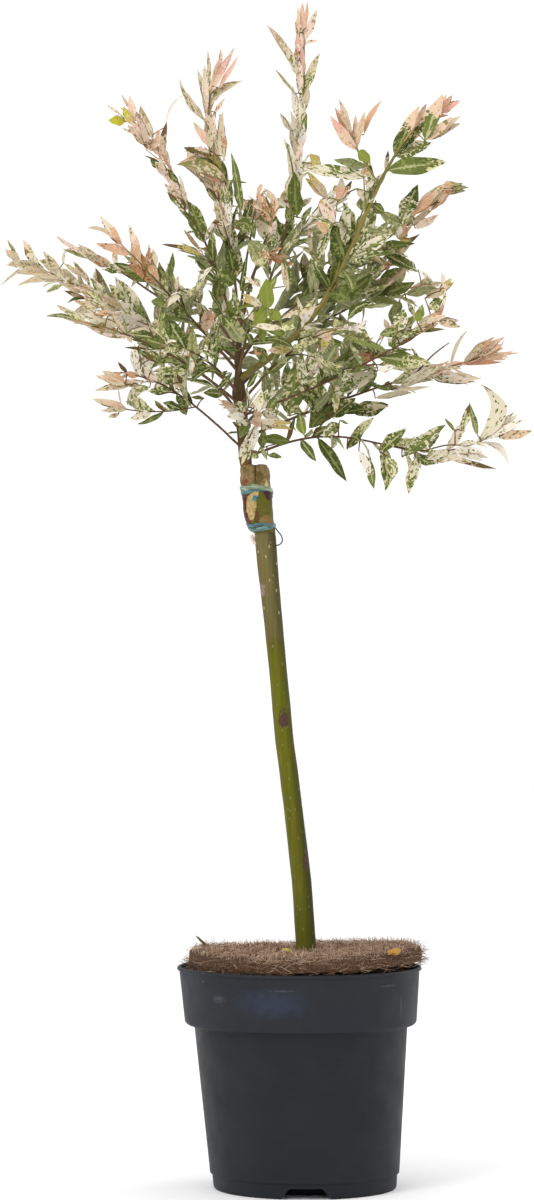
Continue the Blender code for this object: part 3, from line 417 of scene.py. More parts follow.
# The leaves that stand out one by one, by shoot: root and tip in the view, greatest width, kind,
# a second kind towards the tip after a slash, and a place that a curved leaf passes. The last
# group grows on whichever shoot passes nearest. Semicolons part the leaves.
LEAVES_SEEN = {
    "top": """
        303 30 302 1 5 salmon; 299 32 298 5 3 salmon; 306 27 307 0 3 salmon; 303 38 317 8 6 blush; 303
        42 318 39 2.5 blush; 304 75 301 42 5 rose; 298 52 297 33 4 rose; 297 75 266 24 6 khaki/tan 283
        43; 300 95 319 51 8 flecked/khaki; 295 93 275 68 3 grey; 302 110 309 85 6 khaki; 290 130 280 112
        4 khaki; 302 140 307 112 5 green; 293 165 283 136 4 white; 299 66 296 44 5 white/rose; 298 88
        300 60 6 blush; 297 118 293 84 6 white; 300 128 303 96 6 khaki; 297 146 291 110 7 white; 301 152
        304 122 6 white; 294 160 290 128 6 khaki; 298 170 301 136 6 blush; 294 186 288 146 6 white; 298
        196 300 154 6 white
    """,
    "tall_left": """
        213 93 229 44 9 salmon/rose; 215 92 235 46 5 rose; 218 88 238 55 4 rose; 219 62 221 47 2 khaki;
        208 82 208 50 3.5 khaki; 206 110 201 58 9 tan/blush; 209 106 243 79 8 khaki 222 88; 215 112 225
        97 4 tan; 204 120 181 76 5 khaki 190 103; 211 150 210 108 12 khaki/tan; 222 155 221 110 5 khaki;
        208 145 193 121 6 salmon/khaki; 215 155 183 147 6 tan/umber; 222 170 177 164 10 green/tan 200
        156; 221 182 200 170 5 salmon; 220 190 195 172 6 khaki; 224 222 213 207 4 blush; 241 213 232 151
        7 green; 238 205 235 172 5 green; 236 181 247 182 2 umber; 220 176 214 140 8 flecked/tan; 222
        196 216 158 8 tan/khaki; 226 214 222 176 7 flecked/khaki; 225 176 176 164 9 moss 202 165; 222
        166 184 149 7 moss/umber 206 151; 224 160 219 112 7 khaki; 219 152 209 113 6 white/khaki; 216
        132 205 112 5 khaki; 233 238 214 199 7 khaki; 231 224 221 180 8 white/flecked; 232 215 231 180 5
        flecked; 226 150 222 128 4 tan; 233 238 224 202 8 khaki; 227 216 218 182 8 khaki/white; 236 252
        229 218 7 flecked; 222 198 215 162 8 tan/khaki
    """,
    "up_left": """
        203 240 189 201 13 green; 125 121 108 119 9 citrus; 133 124 122 106 6 yellow/citrus; 136 128 129
        94 7 tan; 130 110 121 93 2.5 blush; 120 114 107 104 3 blush; 150 142 140 104 5 khaki/tan; 148
        146 131 113 10 tan/blush; 136 134 122 127 3 blush; 148 150 126 116 9 tan; 152 148 137 118 8
        blush; 153 150 143 143 5 tan/umber; 152 150 160 128 5 salmon; 160 162 166 120 6 khaki/umber; 166
        126 184 94 2 blush 170 107; 162 165 163 140 4 tan; 157 160 144 154 2.5 umber; 158 168 150 158 4
        green; 165 176 156 156 8 blush; 175 184 167 168 5 green/umber; 180 200 164 176 8 blush; 185 210
        167 191 5 dappled/umber; 186 208 179 173 3.5 blush; 184 206 175 195 7 umber/tan; 200 250 183 229
        4 tan; 203 255 162 242 5 yellow/umber 182 247
    """,
    "left_pink": """
        120 247 100 215 7 salmon/blush; 118 247 86 228 6 salmon/khaki 102 230; 130 256 96 243 7
        salmon/rust; 129 257 118 245 2 blush; 140 263 129 224 7 rust/blush; 146 268 133 248 8 rust; 150
        264 149 243 3 tan; 150 267 148 250 5 tan; 156 266 153 248 5 khaki; 154 284 126 256 10 rust; 158
        282 140 254 9 rust; 166 292 158 262 7 dappled; 163 277 160 265 6 green; 170 279 173 252 5 green;
        176 292 168 262 4 grey; 181 292 178 275 4 blush
    """,
    "left_thin": """
        86 258 55 235 4 blush; 90 259 62 248 3 grey; 102 262 77 243 4 khaki; 63 263 64 250 2.5 khaki;
        110 268 84 254 7 tan/khaki; 125 270 107 262 7 flecked; 121 272 103 269 5 flecked; 141 273 114
        263 7 grey/green; 151 281 124 272 5 green; 140 277 131 287 3 khaki
    """,
    "far_left": """
        20 268 1 285 3 khaki; 17 257 7 239 3 grey; 17 262 5 249 6 khaki/tan; 26 265 5 264 5 khaki; 36
        266 10 262 7 khaki; 50 270 10 267 8 khaki; 38 268 22 239 7 khaki/tan; 50 273 15 272 6 tan/khaki;
        62 277 22 274 8 khaki; 62 279 43 251 7 khaki; 58 266 38 260 7 khaki; 60 281 17 286 6 khaki 36
        281; 62 284 46 292 5 grey; 90 283 72 261 6 khaki; 82 277 63 262 5 khaki; 88 294 54 276 9 khaki;
        98 298 68 280 9 tan; 86 299 64 290 5 khaki/umber; 90 300 67 303 2.5 umber 76 298; 113 300 95 267
        6 grey/umber; 111 299 90 277 7 flecked; 123 300 109 284 8 dappled; 127 303 115 275 6 white; 137
        308 119 278 8 dappled; 151 323 123 280 8 grey/dappled; 150 330 118 300 15 white/dappled; 122 312
        84 291 13 khaki/dappled; 102 307 79 297 8 tan
    """,
    "left_cream": """
        109 314 94 314 6 rust; 97 310 74 299 7 khaki/tan; 86 321 56 304 5 dappled/khaki; 77 320 45 316
        3.5 grey 58 315; 97 323 63 318 4 tan; 102 322 70 311 5 khaki; 119 326 88 318 6 khaki; 116 328 89
        325 4 tan/umber; 130 338 93 330 3.5 blush 110 335; 128 331 122 315 2.5 grey; 156 337 127 334 9
        green; 140 343 131 339 2.5 green; 166 345 144 339 8 green; 147 349 124 347 2.5 umber; 160 363
        136 349 5 umber/green; 162 364 151 349 6 green
    """,
    "left_fork": """
        140 373 134 343 12 white; 152 370 143 351 10 white; 158 380 139 368 12 blush/white; 183 363 150
        369 7 green 165 359; 186 371 156 369 7 flecked; 127 376 118 362 3.5 umber; 139 377 124 373 5
        salmon; 125 385 95 375 6 peach/rose; 125 383 102 370 7 salmon/khaki; 131 385 94 390 6
        peach/khaki; 138 384 118 381 6 blush; 122 409 118 388 1.5 blush; 172 390 148 391 7 flecked; 150
        387 127 405 8 dappled 134 392; 173 384 160 373 6 green; 176 386 167 369 6 flecked; 182 383 177
        374 4 umber; 190 368 192 327 11 grey; 165 303 151 301 9 green; 160 336 161 305 4 grey; 128 411
        92 398 7 peach/khaki; 126 414 101 410 5 khaki; 119 414 108 417 4 khaki; 150 413 132 396 8
        dappled; 152 412 130 419 7 dappled; 165 413 154 400 4 umber/green; 164 413 137 424 5 green 150
        420; 181 412 163 402 8 green; 186 415 179 395 8 grey/green; 204 398 191 397 4 green
    """,
    "tall_right": """
        359 150 327 105 11 salmon/rose; 351 134 340 98 6 khaki/salmon; 361 145 360 107 8 peach; 364 134
        382 99 5 salmon 372 112; 358 150 371 162 8 lime; 368 166 334 159 7 grey; 375 174 300 165 12
        dappled 335 172; 376 176 366 190 4 white; 383 170 389 149 3.5 tan/umber; 395 157 419 104 13
        green/peach; 397 157 434 109 9 flecked/green; 396 157 432 140 12 flecked; 425 140 442 93 12
        green/peach; 440 112 451 91 8 salmon; 440 115 460 99 7 rose; 430 140 461 115 13 peach; 388 170
        447 161 14 green/flecked; 357 188 368 203 6 dappled; 347 262 335 222 18 green; 338 200 342 176 7
        salmon/tan; 345 198 352 180 5 rust/umber; 345 245 346 203 10 dappled
    """,
    "right_orange": """
        400 222 418 184 12 flecked/green; 412 215 447 182 12 salmon/peach; 436 187 469 186 12
        salmon/grey; 420 207 441 201 2.5 umber; 412 222 433 209 5 khaki; 415 228 439 214 6 blush; 412
        224 430 218 6 salmon; 398 238 420 233 5 yellow/umber 410 240; 400 238 410 222 8 salmon; 395 238
        405 224 8 white; 375 252 415 243 9 green; 384 213 371 202 9 green; 402 222 380 212 9 grey; 385
        254 419 269 12 green/flecked; 396 262 381 270 5 rust; 400 268 380 277 6 green; 418 269 436 287
        3.5 white 428 276; 433 288 427 278 5 flecked
    """,
    "right_pale": """
        405 294 440 288 9 grey; 425 298 455 282 6 khaki/yellow; 440 291 452 278 6 peach/yellow; 445 288
        442 272 4 blush; 448 291 444 308 3 blush; 428 308 443 299 10 flecked; 385 296 415 282 9 green;
        378 298 396 285 8 green; 370 298 400 303 9 grey; 400 300 392 326 10 grey; 407 300 416 319 4
        flecked; 417 322 423 304 7 lime/flecked; 420 323 449 311 8 khaki/salmon; 438 321 464 324 8
        peach/khaki; 412 331 441 319 8 khaki/salmon; 410 334 445 329 5 grey; 395 336 432 327 6 flecked;
        389 331 384 318 5 khaki; 398 330 380 334 8 grey
    """,
    "right_red": """
        380 360 431 362 16 green/dappled; 398 347 417 335 3 umber
    """,
    "right_pink": """
        352 412 389 405 11 green; 392 390 366 383 3 green; 385 387 390 381 3 umber; 392 391 431 387 3
        blush; 375 398 412 392 6 blush; 398 389 451 361 13 white/blush; 432 378 482 378 12 white/blush;
        450 361 468 329 3 blush 456 347; 463 362 505 336 13 peach/salmon; 463 362 514 347 8 salmon; 463
        364 519 351 4 salmon/rose; 460 366 503 361 5 salmon
    """,
    "right_low": """
        347 449 373 417 10 green/dappled 360 432; 359 451 374 489 8 white/green 369 468; 380 452 406 428
        11 flecked; 380 456 386 491 10 flecked 388 474; 386 457 392 480 9 dappled 393 469; 402 457 446
        425 11 flecked; 416 458 409 495 9 dappled; 417 456 435 464 7 green; 448 451 426 464 9 white; 440
        453 497 466 6 white/umber 482 470; 452 449 488 457 12 white; 455 431 445 418 3 green; 452 444
        460 428 5 blush; 462 431 470 404 6 flecked/umber; 478 436 469 402 5 grey; 473 442 479 382 14
        white 499 412; 482 443 529 411 10 white; 500 438 533 431 7 peach; 480 443 509 465 7 white 500
        450; 290 440 257 438 9 green; 300 438 316 461 7 green; 318 440 348 481 10 green
    """,
    "back_yellow": """
        328 198 303 170 10 khaki/yellow; 320 165 310 153 8 yellow; 335 222 318 195 9 blush
    """,
    "": """
        236 224 212 222 5 blush/umber; 209 263 211 231 7 green; 231 226 255 238 14 green 245 222; 245
        222 252 197 8 green/umber; 272 221 263 187 6 rust/tan 274 201; 273 222 252 202 6 rust/tan; 270
        214 257 190 5 rust/salmon; 262 204 243 199 3 khaki/umber; 280 246 255 219 12 flecked/khaki; 291
        248 277 219 7 green; 250 240 267 268 16 grey/dappled; 236 242 252 239 4 umber 243 236; 231 273
        228 246 10 green; 236 278 237 241 11 flecked/green; 240 290 247 254 4 green; 238 284 217 269 13
        green; 216 300 221 272 10 green; 261 287 243 276 4 khaki; 240 290 251 281 4 green; 268 309 266
        278 12 lime; 266 309 254 326 9 lime; 268 310 282 321 8 lime; 262 307 238 294 8 khaki/yellow; 262
        316 248 318 9 lime/blush; 265 317 262 328 9 lime; 272 312 282 319 7 lime; 283 329 252 325 6
        khaki; 282 317 321 304 5 khaki; 281 325 295 327 10 dappled; 303 303 314 299 4 rust/umber; 321
        347 331 334 8 yellow/peach; 314 339 335 330 5 blush/rust; 318 352 330 341 6 peach; 326 363 337
        344 12 grey; 291 349 267 350 9 yellow/tan; 295 350 262 340 6 green 277 339; 289 416 297 362 17
        flecked/green; 303 386 301 350 8 dappled; 309 370 318 352 9 dappled; 297 217 295 171 12 green;
        298 218 275 199 5 rust/khaki 291 202; 293 225 286 205 7 grey/flecked; 300 206 312 197 5 khaki;
        302 219 312 206 4 green; 350 236 345 201 12 green/dappled; 333 218 327 205 8 salmon; 346 227 305
        213 6 flecked; 326 216 321 198 8 dappled/yellow; 327 233 316 221 6 salmon; 328 231 322 221 6
        yellow; 318 259 328 230 7 flecked; 311 252 309 228 4 khaki; 328 288 311 257 8 green/flecked; 305
        279 304 252 9 grey/khaki; 290 286 284 258 6 green; 288 292 282 262 5 tan; 182 304 178 320 9
        green; 187 346 168 318 12 green; 203 333 211 308 14 tan/salmon; 268 361 253 346 9 grey/green;
        262 353 248 352 5 rust/umber; 284 387 288 362 9 flecked; 226 397 203 392 8 green; 348 319 372
        302 7 green 358 307; 364 307 391 304 5 grey; 397 333 404 309 12 flecked; 378 370 396 366 6
        white; 222 311 209 289 4 green; 223 313 208 307 4 green; 241 343 222 313 14 grey/green; 239 350
        210 347 5 green; 232 373 217 391 5 green; 247 388 258 371 5 green; 256 412 268 389 13
        white/dappled; 250 417 222 411 10 white; 250 423 232 419 8 white; 247 428 232 422 5 umber; 262
        426 250 415 9 salmon; 260 418 256 408 6 peach/rust; 262 413 283 416 10 white; 258 421 297 427 8
        blush/yellow; 258 427 272 429 7 dappled; 257 427 241 465 13 white/dappled; 250 420 240 438 9
        green; 250 412 235 402 10 dappled; 238 432 227 433 2.5 green; 262 448 264 430 7 green; 261 447
        267 460 4 grey; 258 458 251 450 6 green/umber; 268 455 282 457 5 grey; 286 438 295 416 4
        umber/green; 304 435 299 412 8 lime/green; 268 410 277 398 9 green; 323 413 297 380 14 green;
        332 401 309 428 16 green; 332 417 355 397 11 green/flecked; 342 413 389 405 10 green/khaki; 340
        420 349 424 2 green; 336 421 323 437 10 flecked; 320 400 318 372 5 green; 347 371 374 352 12
        green/rust; 385 348 338 333 8 grey; 395 348 388 338 6 green/blush; 334 393 380 371 14
        flecked/dappled
    """,
}


def linear(value):
    value = value / 255.0
    return value / 12.92 if value <= 0.04045 else ((value + 0.055) / 1.055) ** 2.4


def display(red, green, blue, gain=1.0):
    return tuple(linear(value) * gain for value in (red, green, blue)) + (1.0,)


def seeded(name):
    return np.random.default_rng(zlib.crc32(name.encode()))


def settle(piece, slot, *replaced):
    """Hides the nodes a piece stands for and lets it ride; the slot it is given is not used."""
    if replaced:
        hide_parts(*replaced)
    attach(piece, "root")


# Materials

def plain(name, colour, roughness=0.5, specular=0.35):
    """A plain base colour with nothing linked, so that the export keeps it as it is."""
    made = bpy.data.materials.new(name)
    made.use_nodes = True
    shader = made.node_tree.nodes["Principled BSDF"]
    shader.inputs["Base Color"].default_value = colour
    shader.inputs["Roughness"].default_value = roughness
    shader.inputs["Specular IOR Level"].default_value = specular
    return made


class Nodes:
    """A short way to write a material's nodes."""

    def __init__(self, name):
        self.material = bpy.data.materials.new(name)
        self.material.use_nodes = True
        self.tree = self.material.node_tree
        self.shader = self.tree.nodes["Principled BSDF"]
        self.place = self.add("ShaderNodeTexCoord").outputs["Object"]

    def add(self, kind, **settings):
        node = self.tree.nodes.new(kind)
        for key, value in settings.items():
            setattr(node, key, value)
        return node

    def put(self, value, socket):
        if isinstance(value, bpy.types.NodeSocket):
            self.tree.links.new(value, socket)
        else:
            socket.default_value = value

    def scaled(self, scale):
        node = self.add("ShaderNodeMapping")
        self.put(self.place, node.inputs["Vector"])
        node.inputs["Scale"].default_value = scale
        return node.outputs["Vector"]

    def noise(self, scale, detail=4.0, roughness=0.55, vector=None):
        node = self.add("ShaderNodeTexNoise")
        self.put(vector or self.place, node.inputs["Vector"])
        node.inputs["Scale"].default_value = scale
        node.inputs["Detail"].default_value = detail
        node.inputs["Roughness"].default_value = roughness
        return node.outputs["Fac"]

    def cells(self, scale, vector=None):
        node = self.add("ShaderNodeTexVoronoi")
        self.put(vector or self.place, node.inputs["Vector"])
        node.inputs["Scale"].default_value = scale
        return node.outputs["Distance"]

    def ramp(self, value, *stops):
        """Stops are (position, grey or colour)."""
        node = self.add("ShaderNodeValToRGB")
        self.put(value, node.inputs["Fac"])
        elements = node.color_ramp.elements
        while len(elements) < len(stops):
            elements.new(0.5)
        for element, (position, colour) in zip(elements, stops):
            element.position = position
            element.color = colour if isinstance(colour, tuple) else (colour, colour, colour, 1.0)
        return node.outputs["Color"]

    def tones(self, value, *stops):
        """A ramp whose stops are (position, tone)."""
        return self.ramp(value, *((position, display(*tone)) for position, tone in stops))

    def math(self, operation, first, second=0.0, clamp=False):
        node = self.add("ShaderNodeMath", operation=operation, use_clamp=clamp)
        self.put(first, node.inputs[0])
        self.put(second, node.inputs[1])
        return node.outputs[0]

    def mix(self, share, first, second):
        node = self.add("ShaderNodeMix", data_type="RGBA")
        self.put(share, node.inputs["Factor"])
        self.put(first, node.inputs["A"])
        self.put(second, node.inputs["B"])
        return node.outputs["Result"]

    def stain(self, colour, value, first, last, tone):
        """A tone or colour laid over another, as strongly as a ramp of two (value, strength) stops says."""
        over = display(*tone) if isinstance(tone, tuple) else tone
        return self.mix(self.ramp(value, first, last), colour, over)

    def axis(self, name):
        node = self.add("ShaderNodeSeparateXYZ")
        self.put(self.place, node.inputs["Vector"])
        return node.outputs[name]

    def near(self, centre, radii):
        """One at a place and falling to nought at the edge of an ellipsoid round it."""
        place = self.place
        for operation, value in (("SUBTRACT", centre), ("DIVIDE", radii)):
            node = self.add("ShaderNodeVectorMath", operation=operation)
            self.put(place, node.inputs[0])
            node.inputs[1].default_value = value
            place = node.outputs[0]
        size = self.add("ShaderNodeVectorMath", operation="LENGTH")
        self.put(place, size.inputs[0])
        return self.math("SUBTRACT", 1.0, size.outputs["Value"], clamp=True)

    def finish(self, colour, roughness, height=None, distance=0.0004, strength=1.0, specular=0.2):
        self.put(colour, self.shader.inputs["Base Color"])
        self.shader.inputs["Specular IOR Level"].default_value = specular
        self.put(roughness, self.shader.inputs["Roughness"])
        if height is not None:
            bump = self.add("ShaderNodeBump")
            bump.inputs["Distance"].default_value = distance
            bump.inputs["Strength"].default_value = strength
            self.put(height, bump.inputs["Height"])
            self.put(bump.outputs["Normal"], self.shader.inputs["Normal"])
        return self.material


def mottled(name, grain, stops, roughness, bump):
    """A material whose tones and relief both follow one noise of the settings in grain."""
    nodes = Nodes(name)
    level = nodes.noise(*grain)
    return nodes.finish(nodes.tones(level, *stops), roughness, level, bump)


# Mesh building

# Wide enough for the longest name of a tone.
TONE_TYPE = "<U16"


class Heap:
    """Triangles of many small shapes, each with a tone, that become one piece."""

    def __init__(self):
        self.points = []
        self.faces = []
        self.tones = []
        self.count = 0

    def add(self, points, faces, tones):
        """Tones are one for each face, or a single one for all of them."""
        self.points.append(points)
        self.faces.append(faces + self.count)
        self.tones.append(np.full(len(faces), tones, dtype=TONE_TYPE) if isinstance(tones, str) else tones)
        self.count += len(points)

    def piece(self, name, materials, smooth=60.0):
        points = np.concatenate(self.points).astype(np.float32)
        faces = np.concatenate(self.faces).astype(np.int32)
        tones = np.concatenate(self.tones)
        used = sorted(set(tones.tolist()))
        place = {tone: i for i, tone in enumerate(used)}
        indices = np.array([place[tone] for tone in tones.tolist()], np.int32)
        return piece_of(name, points, faces, [materials[tone] for tone in used], indices, smooth)


def smooth_mesh(made, degrees):
    made.data.shade_smooth()
    made.data.set_sharp_from_angle(angle=math.radians(degrees))
    return made


def piece_of(name, points, faces, materials, indices=None, smooth=60.0):
    """An object of triangles from arrays."""
    mesh = bpy.data.meshes.new(name)
    mesh.vertices.add(len(points))
    mesh.vertices.foreach_set("co", np.ascontiguousarray(points, np.float32).ravel())
    mesh.loops.add(len(faces) * 3)
    mesh.loops.foreach_set("vertex_index", np.ascontiguousarray(faces, np.int32).ravel())
    mesh.polygons.add(len(faces))
    mesh.polygons.foreach_set("loop_start", np.arange(len(faces), dtype=np.int32) * 3)
    for finish in materials:
        mesh.materials.append(finish)
    if indices is not None:
        mesh.polygons.foreach_set("material_index", indices)
    mesh.update(calc_edges=True)
    mesh.validate()
    made = bpy.data.objects.new(name, mesh)
    bpy.context.scene.collection.objects.link(made)
    return smooth_mesh(made, smooth) if smooth else made


def grid_faces(rows, columns, wrap=True):
    """Two triangles for each cell of a grid of points, whose rows may close on themselves."""
    i, j = np.meshgrid(np.arange(rows - 1), np.arange(columns if wrap else columns - 1), indexing="ij")
    i, j = i.ravel(), j.ravel()
    k = (j + 1) % columns
    a, b, c, d = i * columns + j, i * columns + k, (i + 1) * columns + k, (i + 1) * columns + j
    return np.concatenate([np.stack([a, b, c], 1), np.stack([a, c, d], 1)])


def ring_quads(rings, sides, closed=False):
    """The four-sided faces between rings of points, whose last ring may join the first."""
    faces = []
    for ring in range(rings if closed else rings - 1):
        low, high = ring * sides, (ring + 1) % rings * sides
        faces += [(low + i, low + (i + 1) % sides, high + (i + 1) % sides, high + i) for i in range(sides)]
    return faces


def capped_quads(rings, sides):
    """The faces of a limb of rings, closed by fans to the next two points: its head and its foot."""
    faces, last, head = ring_quads(rings, sides), (rings - 1) * sides, rings * sides
    for i in range(sides):
        j = (i + 1) % sides
        faces += [(last + i, last + j, head), (j, i, head + 1)]
    return faces


def grain_at(x, y, scale, layer):
    return noise.noise(Vector((x * scale, y * scale, layer)))


def ripple_at(turn, scale, level):
    """Noise round a stem, at a bearing and a level."""
    return grain_at(math.cos(turn), math.sin(turn), scale, level)


def frames(path):
    """Unit tangents and two sideways directions along a path, turning as little as they can."""
    path = np.asarray(path, float)
    steps = np.gradient(path, axis=0)
    steps /= np.linalg.norm(steps, axis=1)[:, None]
    side = np.cross(steps[0], (0.0, 1.0, 0.0))
    if np.linalg.norm(side) < 0.2:
        side = np.cross(steps[0], (1.0, 0.0, 0.0))
    sides = np.empty_like(steps)
    for i, step in enumerate(steps):
        side = side - step * side.dot(step)
        side /= np.linalg.norm(side)
        sides[i] = side
    return steps, sides, np.cross(steps, sides)


def tube_arrays(path, radii, sides):
    """Points and faces of a closed tube."""
    path = np.asarray(path, float)
    _, across, up = frames(path)
    turn = 2 * np.pi * np.arange(sides) / sides
    ring = np.cos(turn)[None, :, None] * across[:, None] + np.sin(turn)[None, :, None] * up[:, None]
    points = (path[:, None] + np.asarray(radii)[:, None, None] * ring).reshape(-1, 3)
    first, near, far = np.zeros(sides - 2, int), np.arange(1, sides - 1), np.arange(2, sides)
    foot = np.stack([first, far, near], 1)
    head = np.stack([first, near, far], 1) + len(points) - sides
    return points, np.concatenate([grid_faces(len(path), sides), foot, head])


# The source's rule for limbs

def ring_at(rings, height):
    heights = [ring[0] for ring in rings]
    return [float(np.interp(height, heights, [ring[i] for ring in rings])) for i in (1, 2)]


def trunk_rings():
    foot = COMPOST_TOP + GAP
    rings = [(foot, TRUNK_FOOT_X, TRUNK_FLARE)]
    rings += [ring for ring in TRUNK_RINGS if ring[0] > foot]
    rings.append((TRUNK_TOP_HEIGHT, TRUNK_RINGS[-1][1], TRUNK_RINGS[-1][2] * 0.96))
    return rings


def polar(bearing, reach, height):
    turn = math.radians(bearing)
    return np.array([HEAD_X + reach * math.cos(turn), reach * math.sin(turn), height])


def bowed(start, end, bow):
    """Points on a smooth arc from start to end, whose middle bows above the straight line."""
    start, end = np.asarray(start, float), np.asarray(end, float)
    along = Vector(end - start).normalized()
    rise = np.asarray(along.cross(UPWARD).cross(along).normalized())
    middle = (start + end) / 2 + 2 * bow * rise
    share = np.linspace(0.0, 1.0, PATH_POINTS)[:, None]
    return (1 - share) ** 2 * start + 2 * share * (1 - share) * middle + share**2 * end


def resample(path, count):
    """The path again, with count points at even distances."""
    path = np.asarray(path, float)
    steps = np.linalg.norm(np.diff(path, axis=0), axis=1)
    places = np.concatenate([[0.0], np.cumsum(steps)])
    wanted = np.linspace(0.0, places[-1], count)
    return np.stack([np.interp(wanted, places, path[:, axis]) for axis in range(3)], axis=1)


def path_length(path):
    return float(np.linalg.norm(np.diff(path, axis=0), axis=1).sum())


def bent(path, name):
    """The path with its own bends, if it has any; its ends stay where they are."""
    middle_x, middle_z, swing_x, swing_z = BENDS.get(name, (0.0, 0.0, 0.0, 0.0))
    share = np.linspace(0.0, 1.0, len(path))[:, None]
    middle = np.array([middle_x, 0.0, middle_z])
    swing = np.array([swing_x, 0.0, swing_z])
    return path + 4 * share * (1 - share) * middle + np.sin(2 * math.pi * share) * swing


def shoot_path(name):
    shoot = SHOOTS[name]
    x, _ = ring_at(SCION_RINGS, shoot.height)
    arc = bowed((x, 0.0, shoot.height), polar(shoot.bearing, shoot.reach, shoot.tip_height), shoot.bow)
    return resample(bent(arc, name), PATH_POINTS)


def bare_points(name):
    """How many steps of a shoot's path its bare bough takes."""
    return int(round(SHOOTS[name].bare * (PATH_POINTS - 1)))


def fork_path(name):
    fork = FORKS[name]
    path = shoot_path(fork.shoot)
    start = path[int(round(fork.share * (len(path) - 1)))]
    arc = bowed(start, polar(fork.bearing, fork.reach, fork.tip_height), FORK_BOW)
    return resample(bent(arc, name), PATH_POINTS // 2)


# Leaves

# The cells of a leaf along and across, by how much of it shows.
LEAF_GRIDS = {"seen": (22, 8), "large": (15, 6), "small": (8, 4)}
SMALL_LENGTH = 0.013
SMALL_WIDTH = 0.0032
LEAF_THICKNESS = 0.0004
EDGE_THICKNESS = 0.00005
LEAF_SKEW = 0.86
LEAF_ROUNDNESS = 0.84
STALK_SHARE = 0.09
STALK_WIDTH = 0.14
# How a leaf strays: its fold's range and its bend's middle and spread in degrees, then the
# spread of its twist in degrees and of its sway, and its greatest wave.
LEAF_FOLD = (5.0, 30.0)
LEAF_BEND = (-15.0, 19.0)
LEAF_TWIST = 24.0
LEAF_SWAY = 0.03
LEAF_WAVE = 0.09
LINE_POINTS = 33
MIDRIB_POWER = 1.42
RIPPLE = 0.11
RIPPLE_TURNS = 9.5
WAVE_TURNS = 13.0
CELL_JITTER = 0.33
DARK_RIMS = 0.35
RIM_SHARE = 0.7
RIMLESS_KINDS = ("green", "flecked", "lime")
TIP_KIND_SHARE = 0.6
TIP_KIND_FRAY = 0.35
MIDRIB_WIDTH = 0.17
MIDRIB_WIDTH_BELOW = 0.12
MIDRIB_LENGTH = 0.85
BETWEEN_BAND = 0.09
SPECK_TEXEL = 0.00025
SPECK_STRETCH = 0.7
SPECK_BLURS = ((0.0004, 0.74), (0.0020, 0.26))
SPECK_SIZE = 512


def speck_field():
    """A seamless field of specks, spread evenly from 0 to 1, from two sizes of blurred noise."""
    rng = seeded("specks")
    waves = np.fft.fftfreq(SPECK_SIZE)
    squared = waves[:, None] ** 2 + waves[None, :] ** 2
    total = np.zeros((SPECK_SIZE, SPECK_SIZE))
    for blur, weight in SPECK_BLURS:
        sigma = blur / SPECK_TEXEL
        white = np.fft.fft2(rng.standard_normal((SPECK_SIZE, SPECK_SIZE)))
        soft = np.real(np.fft.ifft2(white * np.exp(-2 * (np.pi * sigma) ** 2 * squared)))
        total += weight * soft / soft.std()
    order = np.empty(total.size)
    order[np.argsort(total, axis=None)] = np.linspace(0.0, 1.0, total.size)
    return order.reshape(total.shape)


SPECKS = speck_field()


def leaf_template(rows, columns):
    """The faces of a leaf's upper side and, sharing the points of its edge, of its lower side."""
    upper = np.arange((rows + 1) * (columns + 1)).reshape(rows + 1, columns + 1)
    lower = upper.copy()
    inner = (rows - 1) * (columns - 1)
    lower[1:-1, 1:-1] = upper.size + np.arange(inner).reshape(rows - 1, columns - 1)

    def cells(grid):
        a, b, c, d = grid[:-1, :-1], grid[1:, :-1], grid[1:, 1:], grid[:-1, 1:]
        return np.concatenate([np.stack(corners, -1).reshape(-1, 3) for corners in ([a, c, b], [a, d, c])])

    return cells(upper), cells(lower)[:, ::-1]


TEMPLATES = {size: leaf_template(*grid) for size, grid in LEAF_GRIDS.items()}


def leaf_outline(u):
    """Half the width of a willow leaf, as a share of its greatest, from root to tip."""
    body = np.sin(np.pi * np.clip(u, 0.0, 1.0) ** LEAF_SKEW) ** LEAF_ROUNDNESS
    stalk = STALK_WIDTH * np.clip(1.0 - u / STALK_SHARE, 0.0, 1.0) + 0.05
    return np.maximum(body * np.clip(u / STALK_SHARE, 0.25, 1.0), stalk * (1.0 - u) + 0.012)


def shares_of(u, v):
    """Grids of the shares u down and v across."""
    return np.repeat(u[:, None], len(v), axis=1), np.repeat(v[None, :], len(u), axis=0)


def crown_inside():
    """A grid with a cell for each pixel of the view, true inside the crown's outline."""
    grid = np.zeros((OUTLINE_ROWS, FRAME_WIDTH), bool)
    columns = np.arange(FRAME_WIDTH) + 0.5
    for loop in OUTLINE:
        corners = np.array([[float(number) for number in corner.split(",")] for corner in loop.split()])
        ends = np.roll(corners, -1, axis=0)
        for row in range(OUTLINE_ROWS):
            level = row + 0.5
            hit = (corners[:, 1] <= level) != (ends[:, 1] <= level)
            share = (level - corners[hit, 1]) / (ends[hit, 1] - corners[hit, 1])
            for place in corners[hit, 0] + share * (ends[hit, 0] - corners[hit, 0]):
                grid[row] ^= columns > place
    wide = grid.copy()
    wide[1:] |= grid[:-1]
    wide[:-1] |= grid[1:]
    wide[:, 1:] |= grid[:, :-1]
    wide[:, :-1] |= grid[:, 1:]
    return wide


INSIDE = crown_inside()
CHECK_SHARES = np.array([0.3, 0.5, 0.7, 0.85, 0.98])
CHECK_SIDES = np.array([-0.8, 0.0, 0.8])
EDGE_SHARE = 0.87
HIDDEN_SHARE = 0.14


